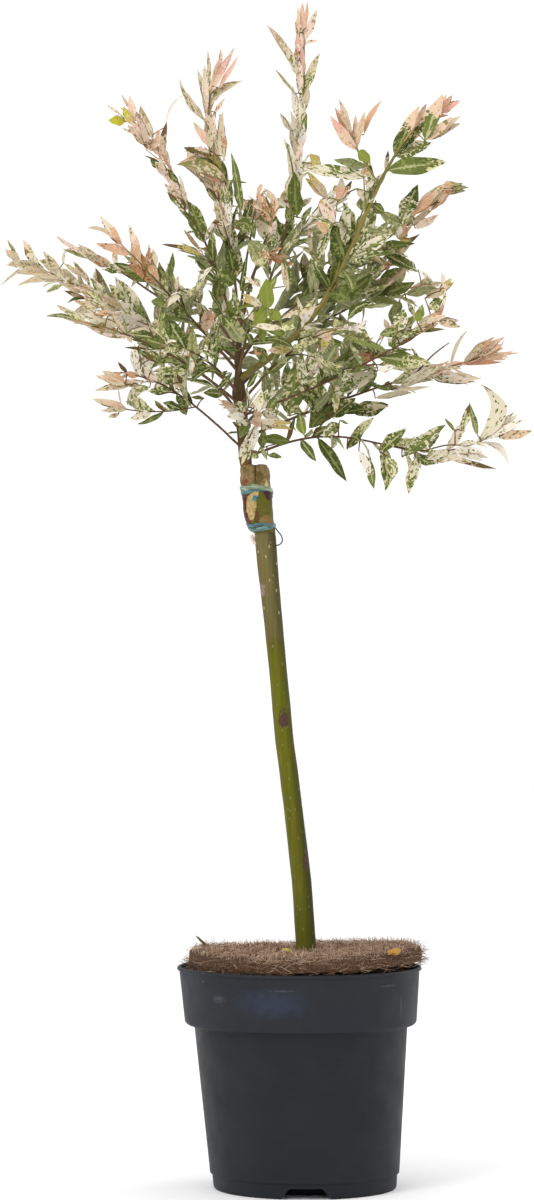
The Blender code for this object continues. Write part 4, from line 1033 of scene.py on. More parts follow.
class Leaf:
    """One leaf of the crown, as it will be drawn."""

    def __init__(self, root, along, up, length, width, kind, rng, tip_kind=None, calm=1.0):
        self.root, self.along, self.up = (np.asarray(part, float) for part in (root, along, up))
        self.length, self.width, self.kind, self.tip_kind = length, width, kind, tip_kind
        self.fold = math.radians(rng.uniform(*LEAF_FOLD)) * (0.4 + 0.6 * calm)
        self.bend = math.radians(rng.gauss(*LEAF_BEND)) * calm
        self.twist = math.radians(rng.gauss(0.0, LEAF_TWIST)) * calm
        self.sway = rng.gauss(0.0, LEAF_SWAY) * calm
        self.wave = rng.uniform(0.0, LEAF_WAVE)
        self.phase = rng.uniform(0.0, 6.28)
        self.seed = rng.randrange(1 << 30)
        self.edge = rng.choice((-1, 0, 0, 1))
        self.grid = "large"

    def surface(self, u, v):
        """Places on the upper side, the way it faces and the half width at shares of length and width."""
        fine = np.linspace(0.0, 1.0, LINE_POINTS)
        angle = self.bend * np.clip((fine - 0.1) / 0.9, 0.0, 1.0) ** 1.2
        line = np.stack([np.cos(angle), np.sin(angle)], 1)
        steps = np.cumsum((line[1:] + line[:-1]) / 2, axis=0) / (LINE_POINTS - 1)
        line = np.concatenate([[[0.0, 0.0]], steps]) * self.length
        forward, rise, lean = (
            np.interp(u, fine, part)[..., None] for part in (line[:, 0], line[:, 1], angle)
        )
        side = np.cross(self.along, self.up)
        side /= np.linalg.norm(side)
        up = np.cross(side, self.along)
        turn = (self.twist * u)[..., None]
        normal = -np.sin(lean) * self.along + np.cos(lean) * up
        across = np.cos(turn) * side + np.sin(turn) * normal
        above = np.cos(turn) * normal - np.sin(turn) * side
        ripple = 1.0 + RIPPLE * np.sin(u * RIPPLE_TURNS + self.phase * 2.0 + 1.9 * np.sign(v))
        half = leaf_outline(u) * ripple * self.width / 2
        spread = v * half * math.cos(self.fold)
        wave = np.sin(u * WAVE_TURNS + self.phase + 1.5 * np.sign(v)) * self.wave
        lift = np.abs(v) ** 0.85 * half * math.sin(self.fold) + wave * half * np.abs(v) * 2.0
        aside = (4 * u * (1 - u) * self.sway * self.length)[..., None] * side
        centre = self.root + forward * self.along + rise * up + aside
        return centre + spread[..., None] * across + lift[..., None] * above, above, half

    def seen_at(self):
        """Places of the leaf in the view, to check it against the outline, and their depth."""
        points = self.surface(*shares_of(CHECK_SHARES, CHECK_SIDES))[0].reshape(-1, 3)
        return in_view(points), points[:, 1]

    def draw(self, heap):
        size = "small" if self.length < SMALL_LENGTH or self.width < SMALL_WIDTH else self.grid
        rows, columns = LEAF_GRIDS[size]
        upper_faces, lower_faces = TEMPLATES[size]
        rng = np.random.default_rng(self.seed)
        u, v = shares_of(np.linspace(0.0, 1.0, rows + 1), np.linspace(-1.0, 1.0, columns + 1))
        jitter = rng.uniform(-CELL_JITTER, CELL_JITTER, (2, rows - 1, columns - 1))
        jitter[1, :, columns // 2 - 1] = 0.0
        v = np.sign(v) * np.abs(v) ** MIDRIB_POWER
        u[1:-1, 1:-1] += jitter[0] / rows
        v[1:-1, 1:-1] += jitter[1] * 2 / columns
        top, above, half = self.surface(u, v)
        thick = LEAF_THICKNESS * (1.0 - np.abs(v)) + EDGE_THICKNESS
        bottom = (top - thick[..., None] * above)[1:-1, 1:-1].reshape(-1, 3)
        heap.add(
            np.concatenate([top.reshape(-1, 3), bottom]),
            np.concatenate([upper_faces, lower_faces]),
            self.paint(rng, u, v, half, upper_faces),
        )

    def paint(self, rng, u, v, half, faces):
        """The tones of the leaf's faces, above and then below."""
        middle_u, middle_v, reach = (values.ravel()[faces].mean(axis=1) for values in (u, v, half))
        along = middle_u * self.length / SPECK_TEXEL * SPECK_STRETCH + rng.integers(SPECK_SIZE)
        aside = middle_v * reach / SPECK_TEXEL + rng.integers(SPECK_SIZE)
        level = SPECKS[along.astype(int) % SPECK_SIZE, aside.astype(int) % SPECK_SIZE]
        tones, below = self.shades(rng, self.kind, level, middle_u, middle_v)
        if self.tip_kind:
            late = middle_u + TIP_KIND_FRAY * (level - 0.5) > TIP_KIND_SHARE
            tip_tones, tip_below = self.shades(rng, self.tip_kind, level, middle_u, middle_v)
            tones = np.where(late, tip_tones, tones)
            below = np.where(late, tip_below, below)
        # Some leaves get an umber or tan rim along one margin: partly a real brown margin, partly painted
        # shade of the edge where the leaf folds under.
        if self.edge and self.kind not in RIMLESS_KINDS:
            rim = (middle_v * self.edge > RIM_SHARE) & (level < RIM_SHARE)
            tones[rim] = "umber" if rng.random() < DARK_RIMS else "tan"
            below[rim] = "tan"
        return np.concatenate([tones, below])

    def shades(self, rng, name, level, middle_u, middle_v):
        """The tones of one kind of leaf, above and below."""
        kind = KINDS[name]
        ground = kind.grounds[rng.integers(len(kind.grounds))]
        speck = kind.specks[rng.integers(len(kind.specks))]
        share = rng.uniform(kind.least, kind.most)
        # Specks gather towards the margin on green leaves, and along the midrib on pale ones.
        pull = (np.abs(middle_v) - 0.45) * (0.22 if kind.midrib else -0.14)
        bar = np.clip(share + pull, 0.02, 0.9)
        tones = np.full(len(level), ground, dtype=TONE_TYPE)
        tones[level < bar + BETWEEN_BAND] = kind.between
        tones[level < bar] = speck
        below = np.full(len(level), kind.under, dtype=TONE_TYPE)
        below[level < bar * 1.15] = kind.under_speck
        if kind.midrib:
            rib = (np.abs(middle_v) < MIDRIB_WIDTH) & (middle_u < MIDRIB_LENGTH)
            tones[rib] = "leaf_pale" if rng.random() < 0.5 else "leaf_mid"
            below[np.abs(middle_v) < MIDRIB_WIDTH_BELOW] = "leaf_pale"
        return tones, below


KIND_SHUFFLE = 0.045


def kind_at(style, share, rng):
    """The kind of leaf at a share of a stem's length, a little shuffled."""
    share += rng.gauss(0.0, KIND_SHUFFLE)
    for kind, limit in style.kinds:
        if share <= limit:
            return kind
    return style.kinds[-1][0]


def turned_about(vector, axis, angle):
    return Matrix.Rotation(angle, 3, axis) @ vector


def outward(side, up, degrees):
    """The direction sideways out of a stem at a bearing round it."""
    turn = math.radians(degrees)
    return side * math.cos(turn) + up * math.sin(turn)


def spread_from(along, out, angle):
    """The direction of a leaf that stands out from its stem by an angle."""
    return Vector(along * math.cos(angle) + out * math.sin(angle)).normalized()


def square_to(face, way):
    """The direction nearest to face that is at right angles to way."""
    return (face - way * face.dot(way)).normalized()


def seen_rows(name):
    """The rows of a group of seen leaves: the numbers, the kinds and a place passed, if any."""
    for row in LEAVES_SEEN[name].split(";"):
        words = row.split()
        kind, _, tip_kind = words[5].partition("/")
        numbers, passed = ([float(word) for word in part] for part in (words[:5], words[6:]))
        yield numbers, kind, tip_kind or None, passed


FAN_KINDS = ("white", "blush", "peach", "salmon", "rose", "khaki", "tan", "rust")
FAN_PIXELS = 8.0
FAN_SPREAD = 0.72
FAN_FALL = 0.22


def fanned(numbers, kind, passed):
    """A wide pale blade of the table is a bundle of young leaves: the rows of two or three narrow ones."""
    column, row, tip_column, tip_row, width = numbers
    across, down = tip_column - column, tip_row - row
    length = math.hypot(across, down)
    if passed or kind not in FAN_KINDS or width < FAN_PIXELS or length < 1.6 * width:
        return [numbers]
    count, share = (2, 0.7) if width < 1.5 * FAN_PIXELS else (3, 0.55)
    parts = []
    for number in range(count):
        side = number / (count - 1) - 0.5
        shift = side * width * FAN_SPREAD / length
        reach = 1.0 - FAN_FALL * abs(side) - (0.07 if number == 0 else 0.0)
        tip = (column + across * reach - down * shift, row + down * reach + across * shift)
        parts.append([column, row, *tip, width * share])
    return parts


# How finely stems, stout shoots and the scion's knuckle are sampled in the view.
STEM_SAMPLES = 90
STOUT_SAMPLES = 300
KNUCKLE_SAMPLES = 60
# The chance that a place on a stem is left out: by itself, more for each seen leaf near it, at most.
TAKEN_LEAST = 0.05
TAKEN_EACH = 0.16
TAKEN_MOST = 0.5
STALK_PIXELS = 5.0
LONG_STALK_PIXELS = 11.0
SEEN_WIDTH = 1.25
SEEN_CALM = 0.3
SEEN_GAP_PIXELS = 13.0
FAR_DEPTH = 9.0
BEHIND_PIXELS = 150.0
HIDDEN_SHOOTS = ("back", "front")
STEM_POINTS = 26
# The parts of a leaf that are checked, and the room it keeps inside the box and round the limbs.
FIT_SHARES = np.array([0.45, 0.75, 1.0])
BOX_MARGIN = 0.0005
LIMB_MARGIN = 0.002
# The turns in degrees and the shares of its size that a leaf tries one after the other.
LEAF_TRIES = ((0, 1.0), (0, 0.85), (25, 0.9), (-25, 0.9), (0, 0.7), (45, 0.8), (-45, 0.8), (0, 0.55))
PAIR_TURN = 93.0
TUFT_TURN = 137.5
TUFT_LEAVES = 5
TWIG_ANGLE = 0.65
TWIG_TRIES = 6
STALK_RADII = (0.0006, 0.0004)
STALK_POINTS = 6
COVER_U = np.linspace(0.08, 0.98, 40)
COVER_V = np.linspace(-1.0, 1.0, 9)
COVER_DEPTH = 0.003
LIME_RISE = 0.012


class Crown:
    """All that grows, kept by mass: leaves, and stems as (path, radii, age at foot, age at tip)."""

    def __init__(self):
        self.stems = {name: [] for name in SHOOTS}
        self.leaves = {name: [] for name in SHOOTS}
        self.roots = {name: np.zeros((0, 2)) for name in SHOOTS}
        self.stalks = {name: np.zeros((0, 3)) for name in SHOOTS}
        self.front = np.full((OUTLINE_ROWS, FRAME_WIDTH), FAR_DEPTH)
        self.low, self.high = (np.array(corner) for corner in CAD_BOX)
        limbs = []
        for rings in (trunk_rings(), SCION_RINGS):
            for height in np.linspace(COMPOST_TOP, SCION_RINGS[-1][0], 90):
                if rings[0][0] <= height <= rings[-1][0]:
                    x, radius = ring_at(rings, height)
                    limbs.append((x, 0.0, height, radius))
        self.limbs = np.array(limbs)

    def fits(self, root, way, length):
        """True where a leaf stays inside the part's box and clear of the trunk."""
        points = np.asarray(root) + np.asarray(way) * length * FIT_SHARES[:, None]
        if (points < self.low + BOX_MARGIN).any() or (points > self.high - BOX_MARGIN).any():
            return False
        gaps = np.linalg.norm(points[:, None] - self.limbs[None, :, :3], axis=2) - self.limbs[None, :, 3]
        return bool((gaps > LIMB_MARGIN).all())

    def cells(self, places):
        columns = np.clip(places[:, 0].astype(int), 0, FRAME_WIDTH - 1)
        return np.clip(places[:, 1].astype(int), 0, OUTLINE_ROWS - 1), columns

    def shows_well(self, leaf):
        """True where a leaf covers neither the sky round the crown nor a leaf that is seen whole."""
        places, depths = leaf.seen_at()
        cells = self.cells(places)
        if INSIDE[cells].mean() < EDGE_SHARE:
            return False
        hides = (depths < self.front[cells]) & (self.front[cells] < FAR_DEPTH)
        return bool(hides.mean() < HIDDEN_SHARE)

    def leaf(self, mass, root, way, face, length, width, kind, rng):
        """Adds a leaf where it has room, shorter or turned if it must be."""
        axis = Vector(way)
        for turn, share in LEAF_TRIES:
            aim = turned_about(axis, Vector(face), math.radians(turn)) if turn else axis
            if not self.fits(root, aim, length * share):
                continue
            made = Leaf(root, aim, face, length * share, width * share, kind, rng)
            if self.shows_well(made):
                self.leaves[mass].append(made)
                return

    def run(self, mass, style, path, radii, rng, foot_share, tip_share, spacing=1.0):
        """Leaves in loose pairs along a stem, each pair turned from the last, and a tuft at its tip."""
        count = max(int(path_length(path) / (style.spacing * 0.001 * spacing)), 1)
        dense = resample(path, count * 6 + 1)
        along, side, up = frames(dense)
        thickness = np.interp(np.linspace(0, 1, len(dense)), np.linspace(0, 1, len(radii)), radii)
        places = in_view(dense)
        turn = rng.uniform(0.0, 360.0)
        for pair in range(count):
            share = (pair + 0.5) / count
            turn += PAIR_TURN + rng.uniform(-18.0, 18.0)
            age = foot_share + (tip_share - foot_share) * share
            for half in (0, 1):
                shift = (half - 0.5) * 0.5 / count
                place = min(max(int(round((share + shift) * (len(dense) - 1))), 0), len(dense) - 1)
                if rng.random() < self.taken(mass, places[place]):
                    continue
                out = outward(side[place], up[place], turn + 180.0 * half + rng.uniform(-20.0, 20.0))
                angle = style.foot_angle + (style.tip_angle - style.foot_angle) * age + rng.gauss(0.0, 8.0)
                way = spread_from(along[place], out, math.radians(angle))
                face = square_to(Vector(out) * -0.6 + Vector(along[place]) * 0.4 + UPWARD * 0.8, way)
                face = turned_about(face, way, math.radians(rng.gauss(0.0, 28.0)))
                length = style.foot_length + (style.tip_length - style.foot_length) * age
                length = length * 0.001 * rng.uniform(0.78, 1.12)
                width = length * style.width * rng.uniform(0.85, 1.2)
                root = Vector(dense[place]) + Vector(out) * thickness[place] * 0.6
                self.leaf(mass, root, way, face, length, width, kind_at(style, age, rng), rng)
        if self.taken(mass, places[-1]) < 0.5:
            self.tuft(mass, style, dense[-1], along[-1], side[-1], up[-1], rng, tip_share)

    def taken(self, mass, place):
        """How likely a place on a stem is left out: more where seen leaves already grow."""
        roots = self.roots[mass]
        near = len(roots) and (np.hypot(*(roots - place).T) < SEEN_GAP_PIXELS).sum()
        return min(TAKEN_LEAST + TAKEN_EACH * near, TAKEN_MOST)

    def tuft(self, mass, style, tip, along, side, up, rng, share):
        """The youngest leaves, close round a stem's tip."""
        size = style.tip_length * 0.001
        kind = style.tip_kind if share > 0.9 else kind_at(style, share, rng)
        turn = rng.uniform(0.0, 360.0)
        ahead = Vector(along).normalized()
        self.leaf(mass, Vector(tip), ahead, Vector(up), size * 0.8, size * 0.15, kind, rng)
        for number in range(TUFT_LEAVES):
            turn += TUFT_TURN
            out = outward(side, up, turn)
            way = spread_from(along, out, math.radians(rng.uniform(8.0, 26.0)))
            face = square_to(Vector(out) * -1.0 + UPWARD * 0.3, way)
            root = Vector(tip) + Vector(along) * -0.0022 * number
            length, width = size * rng.uniform(0.62, 0.9), size * rng.uniform(0.13, 0.2)
            self.leaf(mass, root, way, face, length, width, kind, rng)

    def limbs_of(self, name):
        """Each path of a shoot with its radii and look: the leafy part of the shoot, then its forks."""
        stout = STOUTNESS.get(name, 1.0)
        paths = [(name, shoot_path(name)[bare_points(name):])]
        paths += [(fork, fork_path(fork)) for fork, row in FORKS.items() if row.shoot == name]
        for own, path in paths:
            keep = path[np.linalg.norm(path - path[-1], axis=1) > STYLES[own].tip_length * 0.0008]
            stem = resample(keep, STEM_POINTS)
            foot = BOUGH_DRAWN_TIP * stout if own == name else SIDE_TWIG_RADIUS * min(stout, 1.4)
            share = np.linspace(0.0, 1.0, len(stem)) ** (1.9 if stout > 1.0 else 1.0)
            yield own, stem, foot + (TWIG_TIP_RADIUS - foot) * share

    def place_stems(self):
        for name in SHOOTS:
            self.stems[name] = [(stem, radii, 0.0, 1.0) for _, stem, radii in self.limbs_of(name)]

    def place_seen(self):
        """Puts the seen leaves on their shoots, each at the nearest place, on a stalk if that is far."""
        paths = {
            name: np.concatenate([resample(stem, STEM_SAMPLES) for stem, *_ in self.stems[name]])
            for name in SHOOTS
        }
        for group in LEAVES_SEEN:
            rng = random.Random(f"seen {group}")
            for numbers, kind, tip_kind, passed in seen_rows(group):
                mass = group
                if not group or self.gap_to(paths[group], numbers).min() > LONG_STALK_PIXELS:
                    mass = min(SHOOTS, key=lambda name: self.far_from(paths[name], numbers))
                for part in fanned(numbers, kind, passed):
                    self.seen_leaf(mass, paths[mass], part, kind, tip_kind, passed, rng)
        stout_names = [name for name, stout in STOUTNESS.items() if stout > 1.0]
        paths = [resample(shoot_path(name), STOUT_SAMPLES) for name in stout_names]
        knuckle = np.linspace(*KNUCKLE_HEIGHTS, KNUCKLE_SAMPLES)
        paths.append(np.array([(ring_at(SCION_RINGS, height)[0], 0.0, height) for height in knuckle]))
        for path in paths:
            for shift in STOUT_PIXELS:
                np.minimum.at(self.front, self.cells(in_view(path) + (shift, 0.0)), path[:, 1])

    def gap_to(self, path, numbers):
        """How many pixels each point of a path lies from a seen leaf's root."""
        return np.hypot(*(in_view(path) - numbers[:2]).T)

    def far_from(self, path, numbers):
        """How far a shoot passes from a seen leaf's root, counting shoots behind the trunk as farther."""
        gaps = self.gap_to(path, numbers)
        return gaps.min() + path[gaps.argmin(), 1] * BEHIND_PIXELS

    def seen_leaf(self, mass, path, numbers, kind, tip_kind, passed, rng):
        column, row, tip_column, tip_row, width = numbers
        places = np.concatenate([path, self.stalks[mass]])
        gaps = np.hypot(*(in_view(places) - (column, row)).T)
        foot = places[gaps.argmin()]
        root = foot
        rises = kind == "lime" and gaps.argmin() < len(path)
        if gaps.min() > STALK_PIXELS or rises:
            root = from_view(column, row, foot[1] + (-LIME_RISE if rises else rng.uniform(-0.008, 0.004)))
            stalk = resample(bowed(foot, root, 0.001), STALK_POINTS)
            self.stems[mass].append((stalk, np.linspace(*STALK_RADII, STALK_POINTS), 0.62, 0.8))
            self.stalks[mass] = np.concatenate([self.stalks[mass], stalk[2:]])
        scale = (CAMERA_DISTANCE + root[1]) / FOCAL_PIXELS
        reach = math.hypot(tip_column - column, tip_row - row) * scale
        tip = from_view(tip_column, tip_row, root[1] + rng.uniform(-0.5, 0.14) * reach)
        way = Vector(tip - root).normalized()
        lean = math.radians(rng.uniform(-32.0, 32.0))
        face = turned_about(square_to(Vector((0.0, -1.0, 0.25)), way), way, lean)
        length = float(np.linalg.norm(tip - root))
        made = Leaf(root, way, face, length, width * scale, kind, rng, tip_kind, SEEN_CALM)
        made.width *= SEEN_WIDTH / (math.cos(lean) * math.cos(made.fold))
        made.grid = "seen"
        if passed:
            middle = (root + tip) / 2
            side = np.cross(made.along, made.up)
            step = in_view(middle + side * made.length * 0.1) - in_view(middle)
            made.sway = 0.1 * float(np.dot(np.array(passed) - in_view(middle), step) / np.dot(step, step))
        self.leaves[mass].append(made)
        self.roots[mass] = np.vstack([self.roots[mass], (column, row)])
        points = made.surface(*shares_of(COVER_U, COVER_V))[0].reshape(-1, 3)
        np.minimum.at(self.front, self.cells(in_view(points)), points[:, 1] + COVER_DEPTH)

    def grow(self, name):
        rng = random.Random(f"willow {name}")
        spacing = 1.07 if name.startswith(HIDDEN_SHOOTS) else 1.0
        for own, stem, radii in self.limbs_of(name):
            self.run(name, STYLES[own], stem, radii, rng, 0.0 if own == name else 0.1, 1.0, spacing)
            if own == name:
                self.twigs(name, STYLES[own], stem, rng)

    def twigs(self, name, style, stem, rng):
        """Side twigs, shorter towards the tip."""
        along, side, up = frames(stem)
        length = path_length(stem)
        turn = rng.uniform(0.0, 360.0)
        for share in (0.3, 0.46, 0.6) if name.startswith(HIDDEN_SHOOTS) else (0.12, 0.28, 0.42, 0.55):
            place = int(share * (len(stem) - 1))
            for _ in range(TWIG_TRIES):
                turn += TUFT_TURN
                out = outward(side[place], up[place], turn)
                way = along[place] * math.cos(TWIG_ANGLE) + out * math.sin(TWIG_ANGLE)
                reach = length * rng.uniform(0.2, 0.34) * (1 - 0.4 * share)
                path = resample(bowed(stem[place], stem[place] + way * reach, 0.002), 10)
                if self.fits(stem[place], way, reach + 0.02) and INSIDE[self.cells(in_view(path))].all():
                    radii = np.linspace(SIDE_TWIG_RADIUS, TWIG_TIP_RADIUS * 0.8, len(path))
                    self.stems[name].append((path, radii, share, share + 0.35))
                    self.run(name, style, path, radii, rng, share + 0.1, min(share + 0.45, 0.95), 1.1)
                    break


def leaf_slot(name):
    record = frame["record"]
    return next(part["material_slot"] for part in record["subparts"] if part["node"] == f"leaves_{name}")


# Tones of the stems from foot to tip, of most shoots and then of some.
STEM_LIMITS = (0.35, 0.6, 0.85)
TWIG_SIDES = 6
WANDER_REACH = 0.0006
STEM_TONES = {
    "": ("twig_brown", "twig_brown", "twig_olive", "twig_pink"),
    "tall_right": ("twig_khaki", "twig_khaki", "twig_olive", "twig_pink"),
    "up_left": ("twig_brown", "twig_brown", "twig_pink", "twig_pink"),
    "right_low": ("twig_dark", "twig_dark", "twig_red", "twig_olive"),
    "right_pink": ("twig_dark", "twig_red", "twig_brown", "twig_pink"),
    "right_red": ("twig_dark", "twig_red", "twig_brown", "twig_pink"),
    "left_fork": ("twig_dark", "twig_dark", "twig_brown", "twig_olive"),
    "front_low": ("twig_dark", "twig_dark", "twig_brown", "twig_olive"),
}


def stem_tone(name, share):
    return STEM_TONES.get(name, STEM_TONES[""])[int(np.searchsorted(STEM_LIMITS, share))]


def draw_crown(materials):
    crown = Crown()
    crown.place_stems()
    crown.place_seen()
    for name in SHOOTS:
        crown.grow(name)
    for name in SHOOTS:
        leaves, twigs = Heap(), Heap()
        for leaf in crown.leaves[name]:
            leaf.draw(leaves)
        for path, radii, low, high in crown.stems[name]:
            points, faces = tube_arrays(wander(path, name), radii, TWIG_SIDES)
            share = np.minimum(faces.min(axis=1) // TWIG_SIDES, len(path) - 1) / (len(path) - 1)
            tones = [stem_tone(name, low + (high - low) * part) for part in share]
            twigs.add(points, faces, np.array(tones, dtype=TONE_TYPE))
        settle(leaves.piece(f"foliage_{name}", materials, 40.0), leaf_slot(name), f"leaves_{name}")
        settle(twigs.piece(f"twigs_{name}", materials, 80.0), "shoot_bark")


def wander(path, name):
    """A path that strays a hair to each side, as a grown stem does, and keeps its ends."""
    path = np.array(path)
    seed = zlib.crc32(name.encode()) % 97
    reach = np.sin(np.linspace(0.0, math.pi, len(path))) * WANDER_REACH
    for i, point in enumerate(path):
        stray = noise.noise_vector(Vector(point) * 60.0 + Vector((seed, 0.0, 0.0)))
        path[i] += np.array(stray) * reach[i]
    return path


# Pot, compost and mat

POT_SIDES = 112
DRAIN_SIDES = 24
CORNER_STEPS = 4


def rounded(profile):
    """(radius, height, rounding) corners as points, each corner an arc of its own rounding."""
    points = []
    for number, (radius, height, round_by) in enumerate(profile):
        here = np.array((radius, height))
        if round_by == 0.0 or number in (0, len(profile) - 1):
            points.append(tuple(here))
            continue
        before = np.array(profile[number - 1][:2]) - here
        after = np.array(profile[number + 1][:2]) - here
        cut_by = min(round_by, np.linalg.norm(before) * 0.48, np.linalg.norm(after) * 0.48)
        start = here + before / np.linalg.norm(before) * cut_by
        end = here + after / np.linalg.norm(after) * cut_by
        for share in np.linspace(0.0, 1.0, CORNER_STEPS):
            points.append(tuple((1 - share) ** 2 * start + 2 * share * (1 - share) * here + share**2 * end))
    return points


def solid(name, points, faces, finish=None):
    """An object from points and faces of any kind, turned to face outwards."""
    mesh = bpy.data.meshes.new(name)
    mesh.from_pydata([tuple(point) for point in points], [], faces)
    work = bmesh.new()
    work.from_mesh(mesh)
    bmesh.ops.recalc_face_normals(work, faces=work.faces)
    work.to_mesh(mesh)
    work.free()
    if finish:
        mesh.materials.append(finish)
    made = bpy.data.objects.new(name, mesh)
    bpy.context.scene.collection.objects.link(made)
    return made


def turned(name, profile, sides, finish=None):
    """A solid of revolution from (radius, height) points, closed on itself."""
    points, rings = [], []
    for radius, height in profile:
        if radius < 1e-9:
            rings.append([len(points)])
            points.append((0.0, 0.0, height))
            continue
        rings.append(list(range(len(points), len(points) + sides)))
        turn = 2 * np.pi * np.arange(sides) / sides
        points += [(radius * math.cos(a), radius * math.sin(a), height) for a in turn]
    faces = []
    for low, high in list(zip(rings, rings[1:])) + [(rings[-1], rings[0])]:
        if len(low) == 1 and len(high) == 1:
            continue
        for i in range(sides):
            j = (i + 1) % sides
            corners = [low[i % len(low)], low[j % len(low)], high[j % len(high)], high[i % len(high)]]
            faces.append(list(dict.fromkeys(corners)))
    return solid(name, points, faces, finish)


def cut(made, cutter):
    """Cuts one object by another, which is then removed."""
    modifier = made.modifiers.new("Cut", "BOOLEAN")
    modifier.operation = "DIFFERENCE"
    modifier.solver = "EXACT"
    modifier.object = cutter
    graph = bpy.context.evaluated_depsgraph_get()
    mesh = bpy.data.meshes.new_from_object(made.evaluated_get(graph))
    made.modifiers.clear()
    made.data = mesh
    bpy.data.objects.remove(cutter, do_unlink=True)


def lean_at(height):
    return POT_LEAN * height / POT_HEIGHT


def notch_cutter(number):
    near = PAD_RADIUS + CHANNEL_SLOPE + NOTCH_INSET
    far = FOOT_RADIUS + CUT_PAST
    slope = (NOTCH_FOOT_WIDTH - NOTCH_TOP_WIDTH) / 2 / NOTCH_HEIGHT
    low = NOTCH_FOOT_WIDTH / 2 + slope * CUT_PAST
    high = NOTCH_TOP_WIDTH / 2
    points = []
    for reach in (near, far):
        points += [(reach, -low, -CUT_PAST), (reach, low, -CUT_PAST)]
        points += [(reach, high, NOTCH_HEIGHT), (reach, -high, NOTCH_HEIGHT)]
    faces = [(0, 1, 2, 3), (7, 6, 5, 4), (0, 4, 5, 1), (1, 5, 6, 2), (2, 6, 7, 3), (3, 7, 4, 0)]
    made = solid("notch", points, faces)
    made.data.transform(Matrix.Rotation(math.radians(NOTCH_BEARING + 360.0 * number / NOTCH_COUNT), 4, "Z"))
    return made


# Scuffs under the pot's lip: centre and radii.
SCUFFS = (
    ((-0.018, -0.092, 0.1602), (0.020, 0.03, 0.0016)),
    ((0.064, -0.066, 0.1618), (0.016, 0.03, 0.0016)),
    ((-0.066, -0.065, 0.1520), (0.010, 0.03, 0.0060)),
)


def pot_material():
    nodes = Nodes("pot_plastic")
    band = nodes.math("GREATER_THAN", nodes.axis("Z"), BAND_FOOT_HEIGHT - 0.001)
    colour = nodes.mix(band, display(25, 27, 32), display(30, 33, 39))
    colour = nodes.stain(colour, nodes.noise(26.0, 3.0), (0.35, 0.0), (0.75, 0.5), (36, 36, 39))
    patch = nodes.near((-0.026, -0.090, 0.150), (0.048, 0.05, 0.018))
    dust = nodes.math("MULTIPLY", patch, nodes.noise(160.0, 5.0, 0.7))
    colour = nodes.stain(colour, dust, (0.14, 0.0), (0.42, 0.55), (44, 56, 76))
    scratches = nodes.noise(1.0, 4.0, 0.7, nodes.scaled((210.0, 210.0, 700.0)))
    for centre, radii in SCUFFS:
        mark = nodes.math("MULTIPLY", nodes.near(centre, radii), scratches)
        colour = nodes.stain(colour, mark, (0.2, 0.0), (0.5, 0.5), (80, 85, 92))
    drip = nodes.near((0.0730, -0.055, 0.144), (0.0009, 0.03, 0.014))
    colour = nodes.stain(colour, drip, (0.1, 0.0), (0.7, 0.5), (74, 74, 76))
    spots = nodes.ramp(nodes.cells(210.0), (0.05, 1.0), (0.09, 0.0))
    spots = nodes.math("MULTIPLY", spots, nodes.ramp(nodes.noise(19.0), (0.52, 0.0), (0.66, 0.5)))
    colour = nodes.mix(spots, colour, display(58, 57, 56))
    brushed = nodes.noise(1.0, 3.0, 0.6, nodes.scaled((30.0, 30.0, 1100.0)))
    colour = nodes.stain(colour, brushed, (0.52, 0.0), (0.9, 0.3), (44, 46, 52))
    rough = nodes.ramp(nodes.noise(45.0, 4.0), (0.3, 0.50), (0.7, 0.65))
    return nodes.finish(colour, rough, nodes.noise(1500.0, 2.0), 0.00005, 0.6)


